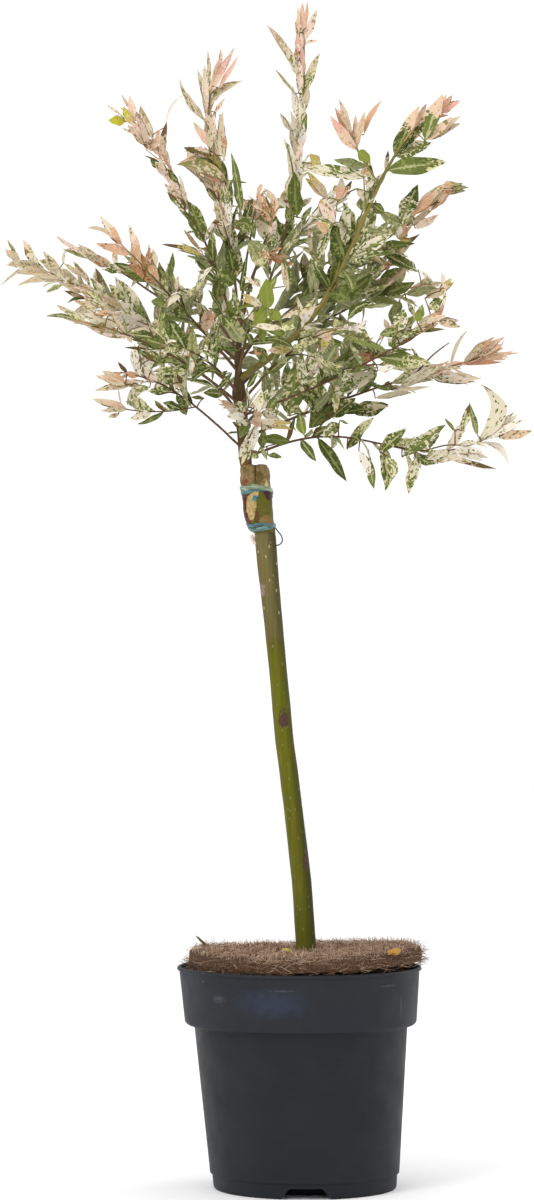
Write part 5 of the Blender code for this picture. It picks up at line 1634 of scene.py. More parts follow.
def make_pot():
    lip_foot = POT_HEIGHT - LIP_HEIGHT
    band_low = BAND_FOOT_HEIGHT - BAND_STEP
    floor_top = CHANNEL_HEIGHT + POT_WALL
    profile = [
        (0.0, 0.0, 0.0),
        (PAD_RADIUS, 0.0, 0.001),
        (PAD_RADIUS + CHANNEL_SLOPE, CHANNEL_HEIGHT, 0.001),
        (FOOT_TOP_RADIUS - 2 * POT_WALL, CHANNEL_HEIGHT, 0.001),
        (FOOT_RADIUS - 2 * POT_WALL, 0.0, 0.0006),
        (FOOT_RADIUS - FOOT_BEVEL / 2, 0.0, 0.0008),
        (FOOT_RADIUS, FOOT_BEVEL, 0.0008),
        (FOOT_TOP_RADIUS, FOOT_HEIGHT - FOOT_STEP, 0.0005),
        (BODY_FOOT_RADIUS, FOOT_HEIGHT, 0.0006),
        (BODY_TOP_RADIUS, band_low - POT_WALL, 0.0008),
        (BODY_TOP_RADIUS + BAND_STEP / 2, band_low, 0.0005),
        (BAND_FOOT_RADIUS - BAND_STEP, band_low, 0.0018),
        (BAND_FOOT_RADIUS, BAND_FOOT_HEIGHT, 0.0018),
        (BAND_TOP_RADIUS, lip_foot, 0.0007),
        (LIP_RADIUS, lip_foot + LIP_BEVEL, 0.0009),
        (LIP_RADIUS - LIP_BEVEL, POT_HEIGHT, 0.0012),
        (BAND_TOP_RADIUS - POT_WALL, POT_HEIGHT, 0.0008),
        (BAND_FOOT_RADIUS - POT_WALL - BAND_STEP / 2, BAND_FOOT_HEIGHT + POT_WALL, 0.001),
        (BODY_TOP_RADIUS - POT_WALL, band_low + POT_WALL, 0.001),
        (BODY_FOOT_RADIUS - POT_WALL, floor_top + FLOOR_ROUND, 0.001),
        (BODY_FOOT_RADIUS - POT_WALL - FLOOR_ROUND, floor_top, 0.0),
        (PAD_RADIUS + CHANNEL_SLOPE - POT_WALL, floor_top, 0.0),
        (PAD_RADIUS - POT_WALL, POT_WALL, 0.0),
        (0.0, POT_WALL, 0.0),
    ]
    pot = turned("nursery_pot", rounded(profile), POT_SIDES, pot_material())
    for number in range(NOTCH_COUNT):
        cut(pot, notch_cutter(number))
    for number in range(DRAIN_COUNT):
        turn = math.radians(NOTCH_BEARING + 360.0 * (number + 0.5) / DRAIN_COUNT)
        outline = [(0.0, 0.0), (DRAIN_RADIUS, 0.0), (DRAIN_RADIUS, CUT_PAST), (0.0, CUT_PAST)]
        hole = turned("hole", outline, DRAIN_SIDES)
        place = (DRAIN_RING * math.cos(turn), DRAIN_RING * math.sin(turn), 0.0)
        hole.data.transform(Matrix.Translation(place))
        cut(pot, hole)
    for vertex in pot.data.vertices:
        vertex.co.x += lean_at(vertex.co.z)
    smooth_mesh(pot, 32.0)
    settle(pot, "black_plastic", "pot")


def mat_place():
    """The mat's centre, tilt and height, worked out as in the source."""
    half = COIR_THICKNESS / 2
    centre = lean_at(COMPOST_TOP) + COIR_OFFSET
    left = centre - (COIR_RADIUS - COIR_ROUND)
    right = lean_at(POT_HEIGHT) + BAND_TOP_RADIUS - POT_WALL
    tilt = math.atan2(POT_HEIGHT + COIR_RISE - COMPOST_TOP, right - left)
    height = COMPOST_TOP + GAP + (COIR_RADIUS - COIR_ROUND) * math.sin(tilt) + half * math.cos(tilt)
    return Matrix.Translation((centre, 0.0, height)) @ Matrix.Rotation(-tilt, 4, "Y")


MAT_SIDES = 120
MAT_RINGS = 26
MAT_SINK = 0.0012
MAT_EDGE_DROP = 0.0030
MAT_SEED = 11


def mat_edge(turn):
    """How far the mat's cut edge reaches at a bearing, as a share of its radius."""
    return 0.982 + ripple_at(turn, 3.1, 5.0) * 0.016 + ripple_at(turn, 17.0, 2.0) * 0.008


def mat_top(x, y):
    """Height of the mat's upper face above its middle plane; its left and right ends stand higher."""
    rise = COIR_END_RISE[1 if x > 0.0 else -1] * min(abs(x) / COIR_RADIUS, 1.0) ** 2
    swell = grain_at(x, y, 42.0, 0.0) * 0.0011
    return COIR_THICKNESS / 2 - MAT_SINK + rise + swell + grain_at(x, y, 160.0, 3.0) * 0.0009


def make_mat():
    place = mat_place()
    trunk_x, _ = ring_at(trunk_rings(), place.translation.z)
    middle = (place.inverted() @ Vector((trunk_x, 0.0, place.translation.z))).x
    # Rings from the hole's edge out over the top, round the edge and back underneath.
    rings = [(share, 1) for share in np.linspace(0.0, 1.0, MAT_RINGS)] + [(1.0, 0), (1.0, -1)]
    rings += [(share, -1) for share in np.linspace(0.97, 0.0, 6)]
    points = []
    for share, level in rings:
        for i in range(MAT_SIDES):
            turn = 2 * math.pi * i / MAT_SIDES
            outer = COIR_RADIUS * mat_edge(turn) * (1.0 if level else 1.012)
            reach = COIR_HOLE_RADIUS * (1 - share) + outer * share
            x, y = middle * (1 - share) + reach * math.cos(turn), reach * math.sin(turn)
            if level == 1:
                z = mat_top(x, y) - MAT_EDGE_DROP * share**14 - 0.0022 * (1 - share) ** 8
            elif level == 0:
                z = 0.0
            else:
                z = -COIR_THICKNESS / 2 + 0.0003 + 0.0028 * share**10
            points.append(place @ Vector((x, y, z)))
    stops = ((0.3, (40, 26, 18)), (0.5, (84, 60, 44)), (0.72, (128, 102, 82)))
    finish = mottled("coir_felt", (900.0, 6.0, 0.7), stops, 0.95, 0.0012)
    mat = solid("coir_mat", points, ring_quads(len(rings), MAT_SIDES, closed=True), finish)
    settle(smooth_mesh(mat, 50.0), "coir", "coir_disc")
    tones = {name: plain(name, display(*colour), 0.85, 0.1) for name, colour in FIBRE_TONES.items()}
    rng = np.random.default_rng(MAT_SEED)
    add_fibres(place, middle, tones, rng)
    add_hairs(place, tones, rng)
    add_bits(place)


FIBRE_TONES = {
    "fibre_pale": (206, 180, 158),
    "fibre_light": (184, 155, 131),
    "fibre_mid": (150, 119, 96),
    "fibre_brown": (106, 76, 54),
    "fibre_dark": (62, 42, 28),
}
FIBRE_COUNT = 7100
PILE_SHARE = 0.6
HAIR_COUNT = 620
FIBRE_STEPS = 4
FIBRE_TAPER = np.array([1.0, 1.0, 0.9, 0.75, 0.4])
# How often each tone comes on the mat's edge, over its top and in the short pile there.
EDGE_WEIGHTS = (0.06, 0.16, 0.28, 0.28, 0.22)
TOP_WEIGHTS = (0.24, 0.32, 0.26, 0.13, 0.05)
PILE_WEIGHTS = (0.30, 0.30, 0.20, 0.12, 0.08)
EDGE_SHARE_OF_FIBRES = 0.24


def fibre(heap, place, start, way, length, lift, radius, tone, rng, curl=1.0):
    """One strand of coir: a thin three-sided tube that wanders."""
    path = [np.array(start)]
    heading = np.array(way, float)
    bend = rng.normal(0.0, 0.35 * curl)
    for step in range(FIBRE_STEPS):
        turn = bend + rng.normal(0.0, 0.22 * curl)
        c, s = math.cos(turn), math.sin(turn)
        x, y, z = heading
        heading = np.array((x * c - y * s, x * s + y * c, z + lift[step]))
        heading /= np.linalg.norm(heading)
        path.append(path[-1] + heading * length / FIBRE_STEPS)
    world = np.array([place @ Vector(point) for point in path])
    heap.add(*tube_arrays(world, FIBRE_TAPER * radius, 3), tone)


def add_fibres(place, middle, tones, rng):
    """Strands that lie on the mat's top and round its edge, and a short pile between them."""
    names = list(tones)
    heap = Heap()
    for _ in range(FIBRE_COUNT):
        turn = rng.uniform(0.0, 2 * math.pi)
        edge = COIR_RADIUS * mat_edge(turn)
        side = rng.random() < EDGE_SHARE_OF_FIBRES
        reach = edge * (1.0 if side else math.sqrt(rng.uniform(0.0, 1.0)))
        x, y = reach * math.cos(turn), reach * math.sin(turn)
        if math.hypot(x - middle, y) < COIR_HOLE_RADIUS:
            continue
        if side:
            heading = turn + math.pi / 2 * rng.choice((-1, 1)) + rng.normal(0.0, 0.35)
        else:
            heading = rng.uniform(0.0, 2 * math.pi)
        length = rng.uniform(0.008, 0.022)
        if side:
            z = rng.uniform(-COIR_THICKNESS * 0.42, COIR_THICKNESS * 0.36)
        else:
            z = mat_top(x, y) - MAT_EDGE_DROP * (reach / edge) ** 14 + rng.uniform(-0.0002, 0.0005)
        weights = EDGE_WEIGHTS if side else TOP_WEIGHTS
        end = np.array((x, y)) + length * np.array((math.cos(heading), math.sin(heading)))
        if not side and np.hypot(*end) > edge * 0.995:
            heading += math.pi
        arch = 0.0 if side else min(rng.exponential(0.5), 2.2)
        length /= 1.0 + 0.6 * arch
        droop = np.array((0.06, -0.5 * arch, -0.6 * arch - 0.06, -0.4 * arch))
        lift = rng.normal(0.0, 0.08, FIBRE_STEPS) + droop
        if side:
            length *= 0.6
        elif rng.random() < PILE_SHARE:
            arch = rng.uniform(0.7, 3.0)
            length = rng.uniform(0.0035, 0.0085)
            lift = rng.normal(0.0, 0.35, FIBRE_STEPS)
            z -= 0.0016
            weights = PILE_WEIGHTS
        tone = names[rng.choice(len(names), p=weights)]
        way = (math.cos(heading), math.sin(heading), rng.normal(0.0, 0.3) if side else arch)
        fibre(heap, place, (x, y, z), way, length, lift, rng.uniform(0.00011, 0.00021), tone, rng)
    settle(heap.piece("coir_fibres", tones, None), "coir")


def add_hairs(place, tones, rng):
    """Hairs that stand up from the mat."""
    names = list(tones)
    heap = Heap()
    for _ in range(HAIR_COUNT):
        turn = rng.uniform(0.0, 2 * math.pi)
        reach = COIR_RADIUS * mat_edge(turn) * rng.uniform(0.35, 0.98)
        x, y = reach * math.cos(turn), reach * math.sin(turn)
        way = (rng.normal(0.0, 0.6), rng.normal(0.0, 0.4), 0.9)
        length = min(0.0025 + rng.exponential(0.0026), 0.014)
        start = (x, y, mat_top(x, y) - 0.0012)
        tone = names[rng.integers(0, 4)]
        fibre(heap, place, start, way, length, rng.normal(0.0, 0.25, FIBRE_STEPS), 0.00013, tone, rng, 1.4)
    settle(heap.piece("coir_hairs", tones, None), "coir")


# What lies on the mat: its place from the mat's middle and its size, in millimetres, and its tone.
MAT_BITS = (
    ((68.5, -60.0), (4.4, 3.4, 2.4), (178, 132, 62)),
    ((65.0, -62.0), (3.0, 2.6, 1.8), (176, 126, 62)),
    ((-14.5, -20.0), (4.6, 2.4, 3.2), (186, 170, 96)),
    ((-78.0, 10.0), (1.7, 1.5, 6.0), (92, 84, 44)),
    ((44.0, -30.0), (2.0, 1.6, 1.2), (60, 44, 30)),
)


def add_bits(place):
    """Fallen bits of leaf and a sprout on the mat."""
    heap, tones = Heap(), {}
    for number, ((x, y), size, tone) in enumerate(MAT_BITS):
        name = f"bit_{number}"
        tones[name] = plain(name, display(*tone), 0.7, 0.1)
        work = bmesh.new()
        bmesh.ops.create_icosphere(work, subdivisions=3, radius=1.0)
        local = np.array([vertex.co for vertex in work.verts])
        faces = np.array([[vertex.index for vertex in face.verts] for face in work.faces])
        work.free()
        shift = Vector((number, 0.0, 0.0))
        rough = [1.0 + 0.45 * noise.noise(Vector(point) * 1.9 + shift) for point in local]
        local = local * np.array(rough)[:, None] * np.array(size) / 1000.0
        # A tall one leans to the left.
        if size[2] > size[0]:
            local[:, 0] -= local[:, 2]
        centre = Vector((x / 1000.0, y / 1000.0, mat_top(x / 1000.0, y / 1000.0) + size[2] / 2500.0))
        heap.add(np.array([place @ (Vector(point) + centre) for point in local]), faces, name)
    settle(heap.piece("mat_bits", tones), "coir")


# Stem, graft and ties

TRUNK_SIDES = 40
TRUNK_STEP = 0.0024
TRUNK_LEAN = 0.1007


BARK_FOOT = 0.16
BARK_SPAN = 0.41
# The bark's tones by height, then its scars: centre, radii and tone.
BARK_STOPS = (
    (0.172, (96, 88, 42)),
    (0.190, (86, 86, 6)),
    (0.300, (92, 92, 4)),
    (0.415, (92, 92, 8)),
    (0.4225, (88, 86, 16)),
    (0.4275, (98, 90, 48)),
    (0.500, (108, 98, 60)),
    (0.515, (104, 92, 52)),
)
SCARS = (
    ((-0.0168, -0.0075, 0.3640), (0.0062, 0.009, 0.0105), (84, 58, 48)),
    ((0.0010, -0.0072, 0.2530), (0.0056, 0.009, 0.0130), (84, 60, 46)),
    ((-0.0345, -0.0030, 0.4640), (0.0060, 0.009, 0.0090), (150, 126, 110)),
)


def trunk_material():
    nodes = Nodes("trunk_bark")
    height = nodes.axis("Z")
    stray = nodes.math("MULTIPLY", nodes.math("SUBTRACT", nodes.noise(70.0), 0.5), 0.012)
    blend = nodes.math("ADD", height, stray)
    level = nodes.math("DIVIDE", nodes.math("SUBTRACT", blend, BARK_FOOT), BARK_SPAN)
    colour = nodes.tones(level, *(((z - BARK_FOOT) / BARK_SPAN, tone) for z, tone in BARK_STOPS))
    streaks = nodes.noise(1.0, 4.0, 0.6, nodes.scaled((420.0, 420.0, 16.0)))
    colour = nodes.stain(colour, streaks, (0.42, 0.0), (0.8, 0.55), (52, 52, 12))
    colour = nodes.stain(colour, streaks, (0.2, 0.5), (0.45, 0.0), (120, 115, 36))
    # Across the leaning trunk, from -1 at its left edge to 1 at its right.
    lean = nodes.math("MULTIPLY", nodes.math("SUBTRACT", height, TRUNK_RINGS[0][0]), TRUNK_LEAN)
    aside = nodes.math("SUBTRACT", nodes.math("ADD", nodes.axis("X"), lean), TRUNK_RINGS[0][1])
    aside = nodes.math("DIVIDE", aside, TRUNK_RINGS[0][2])
    brown = nodes.noise(1.0, 3.0, 0.6, nodes.scaled((260.0, 260.0, 26.0)))
    colour = nodes.stain(colour, brown, (0.55, 0.0), (0.72, 0.5), (104, 76, 28))
    # Painted shade: the right side of the trunk is darkened towards a deep green.
    colour = nodes.stain(colour, aside, (0.1, 0.0), (0.9, 0.85), (44, 44, 4))
    colour = nodes.stain(colour, nodes.math("MULTIPLY", aside, -1.0), (0.72, 0.0), (1.0, 0.4), (66, 58, 20))
    upper = nodes.ramp(level, (0.62, 0.25), (0.68, 1.0))
    dots = nodes.ramp(nodes.cells(1.0, nodes.scaled((230.0, 230.0, 120.0))), (0.12, 1.0), (0.2, 0.0))
    colour = nodes.mix(nodes.math("MULTIPLY", dots, upper), colour, display(160, 148, 106))
    for centre, radii, tone in SCARS:
        ragged = nodes.math("MULTIPLY", nodes.math("SUBTRACT", nodes.noise(330.0, 3.0, 0.6), 0.35), 1.5)
        patch = nodes.math("SUBTRACT", nodes.near(centre, radii), ragged)
        bark = nodes.tones(nodes.noise(900.0), (0.35, [value * 0.72 for value in tone]), (0.65, tone))
        colour = nodes.stain(colour, patch, (0.12, 0.0), (0.22, 0.95), bark)
    relief = nodes.math("ADD", nodes.math("MULTIPLY", streaks, 0.6), nodes.math("MULTIPLY", dots, 0.8))
    return nodes.finish(colour, 0.55, relief, 0.0003, 1.0, 0.15)


# The waxed graft: heights, its left and right edges in the view and its half depth, in millimetres.
WRAP_RINGS = (
    (508.6, -40.0, -23.0, 8.4),
    (511.5, -43.0, -23.3, 8.6),
    (515.0, -45.2, -23.8, 8.9),
    (520.0, -47.0, -24.7, 9.0),
    (530.0, -48.2, -25.3, 8.9),
    (540.0, -49.3, -25.6, 8.4),
    (545.0, -50.0, -27.0, 8.0),
    (553.0, -50.2, -27.5, 7.7),
    (559.0, -50.5, -28.4, 7.2),
    (561.4, -49.4, -29.6, 6.2),
)
WRAP_POWER = 2.3
WRAP_SIDES = 72
WRAP_ROWS = 58
CAP_SHARES = (0.86, 0.68, 0.46, 0.22)
CAP_FOOT = 0.5440
CAP_SLIT_X = -0.0387
TRUNK_DRAWN_TOP = 0.5125
TRUNK_TUCK = 0.5070


def wrap_at(height):
    """The middle, half width and half depth of the waxed graft at a height."""
    heights, *sizes = zip(*WRAP_RINGS)
    left, right, depth = (np.interp(height * 1000.0, heights, size) / 1000.0 for size in sizes)
    return (left + right) / 2, (right - left) / 2, depth


def wrap_point(height, swell, turn):
    """A place on the graft's outline at a height, pushed out by swell."""
    middle, half, depth = wrap_at(height)
    c, s = math.cos(turn), math.sin(turn)
    x = middle + half * math.copysign(abs(c) ** (2 / WRAP_POWER), c) + swell * c
    return x, depth * math.copysign(abs(s) ** (2 / WRAP_POWER), s) + swell * s


# Patches of callus and bark on the graft: centre, radii and the tones of each, low and high.
WRAP_PATCHES = (
    ((-0.0290, -0.0085, 0.5180), (0.0080, 0.006, 0.0050), (110, 80, 40), (140, 112, 62)),
    ((-0.0375, -0.0088, 0.5210), (0.0024, 0.006, 0.0060), (70, 40, 18), (96, 62, 30)),
)
CAP_PATCHES = (
    ((CAP_SLIT_X, -0.008, 0.5550), (0.0010, 0.02, 0.0100), (60, 40, 22)),
    ((-0.0470, -0.006, 0.5480), (0.0042, 0.02, 0.0040), (112, 60, 44)),
    ((-0.0350, -0.008, 0.5520), (0.0040, 0.02, 0.0060), (88, 72, 20)),
)


def wrap_material():
    nodes = Nodes("graft_wax")
    mottle = nodes.noise(420.0, 5.0, 0.65)
    patches = nodes.noise(150.0, 3.0, 0.6)
    stray = nodes.math("MULTIPLY", nodes.math("SUBTRACT", patches, 0.5), 0.006)
    across = nodes.math("ADD", nodes.axis("X"), stray)
    height = nodes.math("ADD", nodes.axis("Z"), stray)
    colour = nodes.tones(mottle, (0.3, (74, 70, 10)), (0.7, (98, 92, 22)))
    left = nodes.math("LESS_THAN", across, -0.0415)
    colour = nodes.mix(left, colour, nodes.tones(mottle, (0.3, (60, 26, 20)), (0.7, (104, 66, 44))))
    for centre, radii, low, high in WRAP_PATCHES:
        patch = nodes.math("MULTIPLY", nodes.near(centre, radii), 2.2)
        tones = nodes.tones(mottle, (0.3, low), (0.7, high))
        colour = nodes.stain(colour, patch, (0.2, 0.0), (0.6, 0.9), tones)
    cap = nodes.tones(mottle, (0.28, (92, 68, 40)), (0.5, (132, 108, 70)), (0.72, (166, 142, 100)))
    cap = nodes.stain(cap, patches, (0.46, 0.0), (0.62, 0.75), (92, 80, 30))
    for centre, radii, tone in CAP_PATCHES:
        ragged = nodes.ramp(patches, (0.3, 0.6), (0.7, 1.6))
        patch = nodes.math("MULTIPLY", nodes.near(centre, radii), ragged)
        cap = nodes.stain(cap, patch, (0.15, 0.0), (0.5, 0.8), tone)
    colour = nodes.mix(nodes.math("GREATER_THAN", height, CAP_FOOT), colour, cap)
    return nodes.finish(colour, 0.5, mottle, 0.0007)


def slit_at(x, width):
    """One in the middle of the cap's slit, falling to nought beside it."""
    return math.exp(-(((x - CAP_SLIT_X) / width) ** 2))


def make_wrap():
    """Wax and callus that close over rootstock and scion, with an uneven cap."""
    points = []
    for height in np.linspace(WRAP_RINGS[0][0], WRAP_RINGS[-1][0], WRAP_ROWS) / 1000.0:
        cap = min(max((height - CAP_FOOT) / 0.004, 0.0), 1.0)
        for i in range(WRAP_SIDES):
            turn = 2 * math.pi * i / WRAP_SIDES
            swell = ripple_at(turn, 3.0, height * 150.0) * (0.0003 + 0.0006 * cap)
            swell += ripple_at(turn, 9.0, height * 520.0) * (0.0001 + 0.0004 * cap)
            x, y = wrap_point(height, swell, turn)
            points.append((x, y - math.copysign(cap * 0.0020 * slit_at(x, 0.0015), y), height))
    rim = np.array(points[-WRAP_SIDES:])
    middle = rim.mean(axis=0)
    for share in CAP_SHARES:
        for x, y, z in middle + (rim - middle) * share:
            z += 0.0010 * (1.0 - share) ** 0.5 + grain_at(x, y, 700.0, 4.0) * 0.0003
            points.append((x, y, z - 0.0012 * slit_at(x, 0.0016)))
    foot_x = np.mean([point[0] for point in points[:WRAP_SIDES]])
    points += [(middle[0], 0.0, middle[2]), (foot_x, 0.0, WRAP_RINGS[0][0] / 1000.0)]
    faces = capped_quads(WRAP_ROWS + len(CAP_SHARES), WRAP_SIDES)
    settle(smooth_mesh(solid("graft_wrap", points, faces, wrap_material()), 60.0), "tan_bark")


def limb_mesh(name, rings, sides, step, finish, reach_at):
    """A limb of level rings, whose reach at each point comes from a function."""
    levels = np.arange(rings[0][0], rings[-1][0], step)
    levels = list(levels[:-1]) + [rings[-1][0]]
    points = []
    for height in levels:
        x, radius = ring_at(rings, height)
        for i in range(sides):
            turn = 2 * math.pi * i / sides
            reach = reach_at(radius, turn, height)
            points.append((x + reach * math.cos(turn), reach * math.sin(turn), height))
    ends = [tuple(np.mean(ring, axis=0)) for ring in (points[-sides:], points[:sides])]
    faces = capped_quads(len(levels), sides)
    return smooth_mesh(solid(name, points + ends, faces, finish), 48.0)


def trunk_reach(radius, turn, height):
    reach = radius + ripple_at(turn, 2.2, height * 26.0) * 0.0003
    reach += ripple_at(turn, 9.0, height * 60.0) * 0.00016
    # The foot spreads into low ribs where it enters the compost.
    foot = max(0.0, 1.0 - (height - COMPOST_TOP) / 0.022)
    reach += foot**2 * 0.0007 * math.cos(3 * turn + 0.6)
    # Its top tucks into the waxed graft.
    return reach - max(0.0, height - TRUNK_TUCK) * 0.3


def make_trunk():
    rings = [ring for ring in trunk_rings() if ring[0] < TRUNK_DRAWN_TOP]
    rings.append((TRUNK_DRAWN_TOP, *ring_at(trunk_rings(), TRUNK_DRAWN_TOP)))
    trunk = limb_mesh("trunk_bark_mesh", rings, TRUNK_SIDES, TRUNK_STEP, trunk_material(), trunk_reach)
    settle(trunk, "green_bark", "trunk")


# The scion's foot as drawn, which stands in the graft's cap.
SCION_DRAWN_FOOT = ((0.5570, -0.0458, 0.0036), (0.5625, -0.0462, 0.0047), (0.5680, -0.0466, 0.0051))
# Above its knuckle it is drawn no thicker than the shoots that leave it.
SCION_DRAWN_HEAD = (
    (0.6200, -0.0513, 0.0050),
    (0.6280, -0.0516, 0.0036),
    (0.6380, -0.0519, 0.0025),
    (0.6600, -0.0516, 0.0020),
    (0.6840, -0.0500, 0.0015),
)
SCION_SIDES = 28
SCION_STEP = 0.0022


def scion_material():
    nodes = Nodes("scion_bark")
    level = nodes.math("DIVIDE", nodes.math("SUBTRACT", nodes.axis("Z"), 0.50), 0.20)
    grain = nodes.noise(1.0, 5.0, 0.65, nodes.scaled((300.0, 300.0, 60.0)))
    stops = ((0.0, (120, 92, 58)), (0.31, (112, 86, 52)), (0.40, (84, 66, 36)), (1.0, (72, 56, 30)))
    colour = nodes.stain(nodes.tones(level, *stops), grain, (0.4, 0.0), (0.75, 0.7), (50, 32, 20))
    return nodes.finish(colour, 0.7, grain, 0.0006)


def scion_reach(radius, turn, height):
    return radius + ripple_at(turn, 1.8, height * 70.0) * 0.0006


def make_scion():
    middle = [ring for ring in SCION_RINGS if SCION_DRAWN_FOOT[-1][0] < ring[0] < SCION_DRAWN_HEAD[0][0]]
    rings = [*SCION_DRAWN_FOOT, *middle, *SCION_DRAWN_HEAD]
    scion = limb_mesh("scion_bark_mesh", rings, SCION_SIDES, SCION_STEP, scion_material(), scion_reach)
    settle(scion, "tan_bark", "scion")


# Each strand of film: the tie it belongs to, its tone, how far its middle lies above the
# tie's at the left, front, right and back, its width there, and how far it stands out.
STRANDS = (
    ("tie_upper", "film_teal", (0.0003, 0.0014, 0.0008, 0.0004), (0.0062, 0.0028, 0.0034, 0.0060), 0.0005),
    ("tie_upper", "film_pale", (0.0030, 0.0036, 0.0012, 0.0020), (0.0018, 0.0040, 0.0040, 0.0030), 0.0009),
    ("tie_lower", "film_blue", (-0.0008, 0.0014, 0.0012, 0.0010), (0.0056, 0.0026, 0.0024, 0.0046), 0.0005),
    ("tie_lower", "film_teal", (-0.0030, -0.0022, 0.0020, 0.0022), (0.0030, 0.0034, 0.0024, 0.0036), 0.0009),
)
FILM_TONES = {
    "film_teal": ((52, 82, 84), (104, 140, 132)),
    "film_pale": ((96, 112, 92), (156, 172, 146)),
    "film_blue": ((38, 66, 78), (88, 122, 126)),
    "film_dark": ((36, 48, 56), (60, 78, 88)),
}


def film_material(name):
    """Stretched film: streaks of two tones along its winding."""
    nodes = Nodes(name)
    streaks = nodes.noise(1.0, 4.0, 0.65, nodes.scaled((160.0, 160.0, 900.0)))
    low, high = (display(*tone) for tone in FILM_TONES[name])
    return nodes.finish(nodes.ramp(streaks, (0.35, low), (0.66, high)), 0.4, streaks, 0.0004, 1.0, 0.4)


def make_ties():
    tones = {name: film_material(name) for name in FILM_TONES}
    for name, height in TIE_HEIGHTS.items():
        heap = Heap()
        for tie, tone, rises, widths, swell in STRANDS:
            if tie == name:
                add_strand(heap, height, tone, rises, widths, swell)
        if name == "tie_lower":
            add_tail(heap)
        settle(heap.piece(f"film_{name}", tones, 50.0), "tie_film", name)


STRAND_SIDES = 96
STRAND_ROWS = 7
FILM_THICKNESS = 0.0003
QUARTERS = (-180.0, -90.0, 0.0, 90.0, 180.0)
# The loose end's way, as places across and up in the view.
TAIL = (
    (-0.0243, 0.5140),
    (-0.0216, 0.5105),
    (-0.0181, 0.5060),
    (-0.0174, 0.5022),
    (-0.0196, 0.4992),
    (-0.0224, 0.4988),
)
TAIL_DEPTH = -0.0025
TAIL_RADIUS = 0.00055


def add_strand(heap, height, tone, rises, widths, swell):
    """A creased strip of film wound once round the graft."""
    turns = 2 * np.pi * np.arange(STRAND_SIDES) / STRAND_SIDES
    bearing = np.degrees(np.arctan2(np.sin(turns), np.cos(turns)))
    rise, width = (np.interp(bearing, QUARTERS, (*values, values[0])) for values in (rises, widths))
    upper = []
    for v in np.arange(STRAND_ROWS) / (STRAND_ROWS - 1) - 0.5:
        for i, turn in enumerate(turns):
            level = height + rise[i] + v * width[i]
            level += ripple_at(turn, 2.0, v * 2.0 + height * 90.0) * 0.0012
            crease = ripple_at(turn, 1.4, v * 7.0 + height * 50.0) * 0.0005
            x, y = wrap_point(level, swell + crease + (0.25 - v * v) * 0.0008, turn)
            upper.append((x, y, level))
    upper = np.array(upper)
    inward = upper - np.array([[wrap_at(height)[0], 0.0, 0.0]])
    inward[:, 2] = 0.0
    inward /= np.linalg.norm(inward, axis=-1)[:, None]
    faces = grid_faces(STRAND_ROWS, STRAND_SIDES)
    half, last = len(upper), len(upper) - STRAND_SIDES
    rims = []
    for i in range(STRAND_SIDES):
        j = (i + 1) % STRAND_SIDES
        a, b = last + i, last + j
        rims += [(i, i + half, j + half), (i, j + half, j), (a, b, b + half), (a, b + half, a + half)]
    sheet = np.concatenate([upper, upper - inward * FILM_THICKNESS])
    heap.add(sheet, np.concatenate([faces, faces[:, ::-1] + half, np.array(rims)]), tone)


def add_tail(heap):
    """The loose end of the tie, which loops out and back at the right."""
    path = resample([(x, TAIL_DEPTH, z) for x, z in TAIL], 24)
    for _ in range(3):
        path[1:-1] = (path[:-2] + path[1:-1] * 2 + path[2:]) / 4
    heap.add(*tube_arrays(path, np.full(len(path), TAIL_RADIUS), 7), "film_dark")


# Each dab on the graft's front: how thick it is in millimetres, its material, and its
# outline in the view's X and height in millimetres.
DABS = {
    "wax_tongue": (
        1.3,
        "wax",
        "-35.5,542.0 -38.7,541.5 -42.3,539.9 -45.0,536.7 -45.8,532.5 -46.4,527.5 -45.8,524.0 -44.0,521.1 "
        "-43.3,517.2 -40.5,516.9 -39.4,520.4 -38.4,525.4 -37.5,529.6 -37.9,533.9 -36.6,537.4 -34.8,540.2",
    ),
    "wax_blob": (
        1.2,
        "wax_pink",
        "-42.9,506.3 -40.8,507.7 -39.0,503.4 -37.9,499.5 -40.3,499.5 -42.0,502.7",
    ),
    "film_scrap": (
        2.1,
        "film",
        "-41.2,537.4 -36.6,538.0 -37.0,534.4 -39.4,531.6 -41.2,533.9",
    ),
    "knob": (
        2.0,
        "callus_dark",
        "-33.4,541.3 -29.5,542.2 -26.0,541.2 -24.9,536.7 -26.7,533.3 -29.9,535.0 -31.3,538.1",
    ),
    "left_callus": (
        0.8,
        "callus_red",
        "-48.3,537.1 -45.8,537.1 -46.2,529.6 -46.3,524.0 -43.9,520.4 -44.8,515.8 -47.2,520.4 -48.3,526.8",
    ),
    "cap_slit": (
        1.2,
        "wax_pale",
        "-30.2,550.2 -28.8,548.0 -28.1,543.4 -30.9,542.0 -31.7,545.9",
    ),
}


def front_of(x, height):
    """How far towards the camera the graft's surface lies at a place in the view."""
    if height > WRAP_RINGS[0][0] / 1000.0:
        middle, half, depth = wrap_at(height)
        power = WRAP_POWER
    else:
        middle, half = ring_at(trunk_rings(), height)
        depth, power = half, 2.0
    return -depth * max(1.0 - abs((x - middle) / half) ** power, 0.0) ** (1 / power)


# The dabs' materials, with their tones, low and high.
DAB_TONES = {
    "wax": ((132, 106, 62), (196, 174, 118)),
    "wax_pale": ((150, 144, 92), (196, 190, 134)),
    "wax_pink": ((196, 170, 152), (232, 216, 200)),
    "film": ((42, 96, 106), (84, 140, 142)),
    "callus_dark": ((34, 18, 24), (78, 42, 48)),
    "callus_red": ((52, 14, 16), (92, 40, 34)),
}
DAB_LEVELS = (0.0, 0.25, 0.5, 0.75, 0.92)
DAB_SIDES = 48


